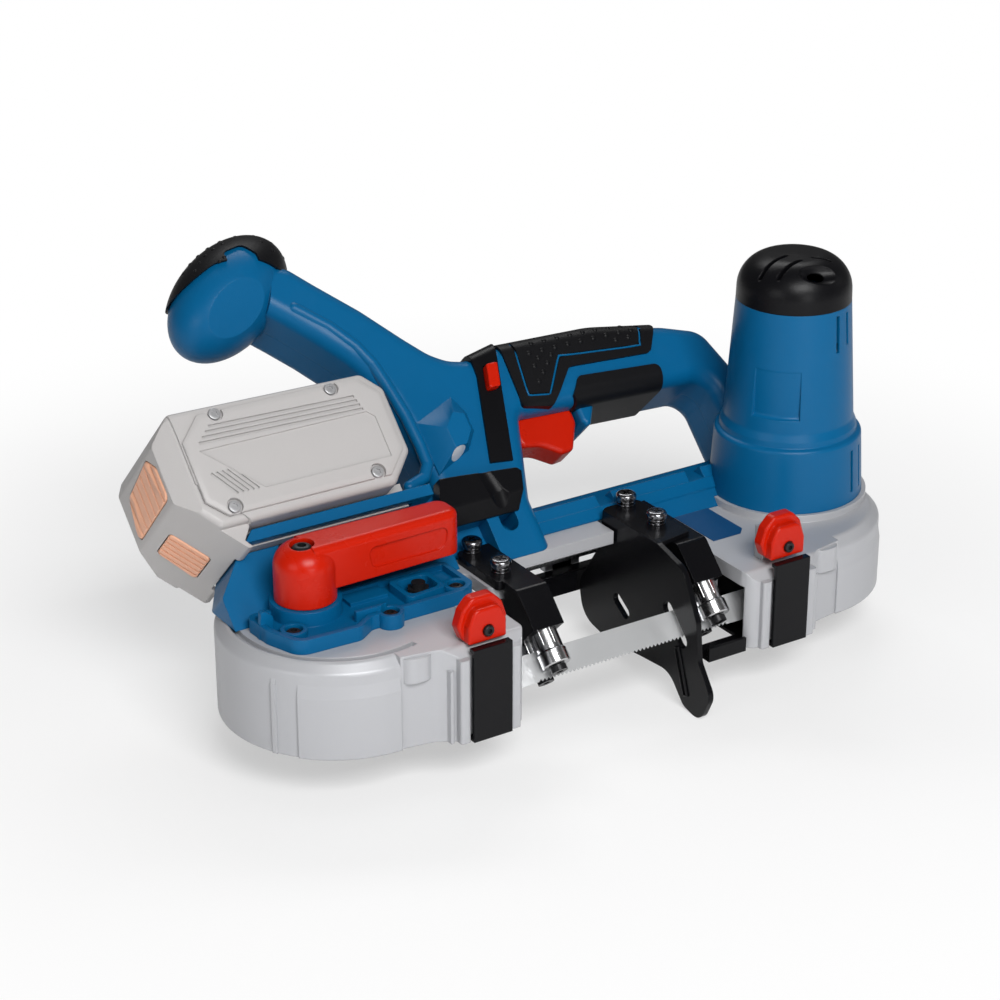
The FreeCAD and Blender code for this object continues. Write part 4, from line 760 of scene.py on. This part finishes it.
route = channel_side(-1) + [grip_ring(CHANNEL_BACK, turn) for turn in CHANNEL_TURNS]
route += channel_side(1)[::-1] + [grip_ring(CHANNEL_FRONT, turn) for turn in CHANNEL_TURNS[::-1]]
route = [spot for spot in route if spot]
line = bpy.data.curves.new("channel_line", "CURVE")
line.dimensions = "3D"
line.bevel_depth = LINE_RADIUS
line.bevel_resolution = 2
spline = line.splines.new("POLY")
spline.points.add(len(route) - 1)
for knot, (point, normal) in zip(spline.points, route):
    knot.co = (*(point + normal * LINE_LIFT), 1)
spline.use_cyclic_u = True
inlay = bpy.data.objects.new("channel_line", line)
bpy.context.scene.collection.objects.link(inlay)
only(inlay)
bpy.ops.object.convert(target="MESH")
fit_out(bpy.context.object, "frame", BLUE, ROUND_SMOOTH)

# Bare label on the right guard's deck

LABEL_LOW = (65.4, -22.2, 36.0)
LABEL_HIGH = (84.2, 15.4, 36.3)
LABEL_ROUND = 0.12
LABEL_CORNER = ((80.4, -22.2, 0), (37.6, -3.8, 0))
label = block("bare_label", LABEL_LOW, LABEL_HIGH)
trim(label, [LABEL_CORNER])
soften(label, LABEL_ROUND, 1)
settle(label, SAW)
fit_out(label, "frame", LABEL)

# Grooved bead on the stop's tongue, from its head towards its tip

BEAD_LENGTH = 19.0
BEAD_WIDTH = 3.6
BEAD_SINK = 0.2
BEAD_RISE = 0.9
BEAD_ROUND = 1.2
BEAD_RIM = 0.55
BEAD_GROOVE = 0.7
STOP_FACE_X = 28.0
BEAD_HEAD = (-48.0, 4.0)
BEAD_AIM = (-54.6, -14.0)
bead = bar_along("tongue_bead", (0, 0), (BEAD_LENGTH, 0), BEAD_WIDTH, -BEAD_SINK, BEAD_RISE)
soften(bead, BEAD_ROUND, 3)
open_mesh(bead)
choose(bead, facing_up)
bpy.ops.mesh.inset(thickness=BEAD_RIM)
bpy.ops.mesh.extrude_region_move(TRANSFORM_OT_translate={"value": (0, 0, -BEAD_GROOVE)})
close_mesh()
tilt = math.atan2(BEAD_AIM[1] - BEAD_HEAD[1], BEAD_AIM[0] - BEAD_HEAD[0])
on_stop = Matrix(((0, 0, -1, STOP_FACE_X), (1, 0, 0, BEAD_HEAD[0]), (0, 1, 0, BEAD_HEAD[1]), (0, 0, 0, 1)))
settle(bead, SAW @ on_stop @ Matrix.Rotation(tilt, 4, "Z"))
outward(bead)
fit_out(bead, "frame", SHEET)

# Screws that close the handle from its rear half, each in a raised ring, where the face is level

REAR_SCREWS = ((-74, 113), (-40, 78), (-28, 34), (-2, 50), (96, 66), (104, 40), (30, 64), (-30, 12))
REAR_START = 80
LEVEL = 0.97
RING_R = 4.6
RING_BORE_R = 3.3
RING_SINK = 0.6
RING_RISE = 0.9
RING_ROUND = 0.25
RING_BORE_SPAN = (-2, 3)
REAR_SCREW_R = 2.9
REAR_SCREW_H = 0.7
rearward = (HANDLE.to_3x3() @ Vector((0, 1, 0))).normalized()
places = []
for x, w in REAR_SCREWS:
    spot = land("housing_rear", HANDLE, (x, REAR_START, w), (0, -1, 0))
    if spot and spot[1].dot(rearward) > LEVEL:
        places.append(faced(WORLD, *spot) @ TO_METRES)
ring = drum("screw_ring", RING_R, -RING_SINK, RING_RISE)
carve(ring, [drum("bore", RING_BORE_R, *RING_BORE_SPAN)])
soften(ring, RING_ROUND)
fit_out(set_out(ring, "housing_screw_rings", places), "frame", BLUE)
screw = star_screw("housing_screw", REAR_SCREW_R, REAR_SCREW_H)
fit_out(set_out(screw, "housing_screw_heads", places), "frame", OXIDE)


# Stage: pale floor and white surround

def blend_into(tree, factor, near, far, output):
    mix = tree.nodes.new("ShaderNodeMixShader")
    join(tree, factor, mix.inputs["Fac"])
    join(tree, near, mix.inputs[1])
    join(tree, far, mix.inputs[2])
    join(tree, mix.outputs[0], tree.nodes[output].inputs["Surface"])


FLOOR_SIZE = 14.0


def floor_paper():
    # Pale paper that keeps the shadow near the saw and goes to white away from it.
    mat = bpy.data.materials.new("floor_paper")
    mat.use_nodes = True
    tree = mat.node_tree
    shader = tree.nodes["Principled BSDF"]
    shader.inputs["Base Color"].default_value = (0.92, 0.92, 0.92, 1)
    shader.inputs["Roughness"].default_value = 0.9
    glow = tree.nodes.new("ShaderNodeEmission")
    glow.inputs["Strength"].default_value = 1.0
    reach = tree.nodes.new("ShaderNodeVectorMath")
    reach.operation = "LENGTH"
    join(tree, tree.nodes.new("ShaderNodeTexCoord").outputs["Object"], reach.inputs[0])
    away = tree.nodes.new("ShaderNodeMapRange")
    away.interpolation_type = "SMOOTHSTEP"
    away.inputs["From Min"].default_value = 0.16
    away.inputs["From Max"].default_value = 0.45
    away.inputs["To Min"].default_value = 0.5
    join(tree, reach.outputs["Value"], away.inputs["Value"])
    seen = tree.nodes.new("ShaderNodeLightPath").outputs["Is Camera Ray"]
    white_share = math_node(tree, "MULTIPLY", seen, away.outputs["Result"])
    blend_into(tree, white_share, shader.outputs[0], glow.outputs[0], "Material Output")
    return mat


bpy.ops.object.select_all(action="DESELECT")
bpy.ops.mesh.primitive_plane_add(size=FLOOR_SIZE, location=(0, 0, 0))
floor = bpy.context.object
floor.name = "floor"
floor.data.materials.append(floor_paper())

scene = bpy.context.scene
world = bpy.data.worlds.new("studio")
scene.world = world
world.use_nodes = True
tree = world.node_tree
surround = tree.nodes["Background"]
surround.inputs["Color"].default_value = (1, 1, 1, 1)
surround.inputs["Strength"].default_value = 0.10
white = tree.nodes.new("ShaderNodeBackground")
white.inputs["Color"].default_value = (1, 1, 1, 1)
ray = tree.nodes.new("ShaderNodeLightPath")
seen = math_node(tree, "MAXIMUM", ray.outputs["Is Camera Ray"], ray.outputs["Is Transmission Ray"])
blend_into(tree, seen, surround.outputs[0], white.outputs[0], "World Output")


# Soft studio light

def soft_light(name, stand, aim, size, watts):
    lamp = bpy.data.lights.new(name, "AREA")
    lamp.shape = "RECTANGLE"
    lamp.size, lamp.size_y = size
    lamp.energy = watts
    ob = bpy.data.objects.new(name, lamp)
    scene.collection.objects.link(ob)
    ob.location = stand
    ob.rotation_euler = (Vector(aim) - Vector(stand)).to_track_quat("-Z", "Y").to_euler()


LOW_AIM = (0, 0, 0.06)
HIGH_AIM = (0, 0, 0.08)
soft_light("key_light", (-0.30, -1.22, 1.20), LOW_AIM, (0.9, 0.6), 24)
soft_light("left_fill", (-1.4, -0.5, 0.55), LOW_AIM, (0.7, 0.5), 3.0)
soft_light("front_card", (-0.2, -1.55, 0.30), HIGH_AIM, (0.5, 0.4), 3.0)
soft_light("right_fill", (1.4, -0.6, 0.6), LOW_AIM, (0.7, 0.5), 0.4)
soft_light("rim_light", (0.5, 1.0, 1.4), HIGH_AIM, (1.2, 0.4), 8)

# Camera at the photo's angle

EYE = Vector((-575.3, -843.8, 529.0))
LOOK = Vector((0.4923, 0.7653, -0.4147))
scene.view_settings.view_transform = "Standard"
camera = bpy.data.cameras.new("photo_view")
camera.sensor_fit = "HORIZONTAL"
camera.sensor_width = 36.0
camera.lens = 93.6
eye = bpy.data.objects.new("photo_view", camera)
scene.collection.objects.link(eye)
eye.location = (EYE + SHIFT) * MM
eye.rotation_euler = LOOK.to_track_quat("-Z", "Y").to_euler()
scene.camera = eye
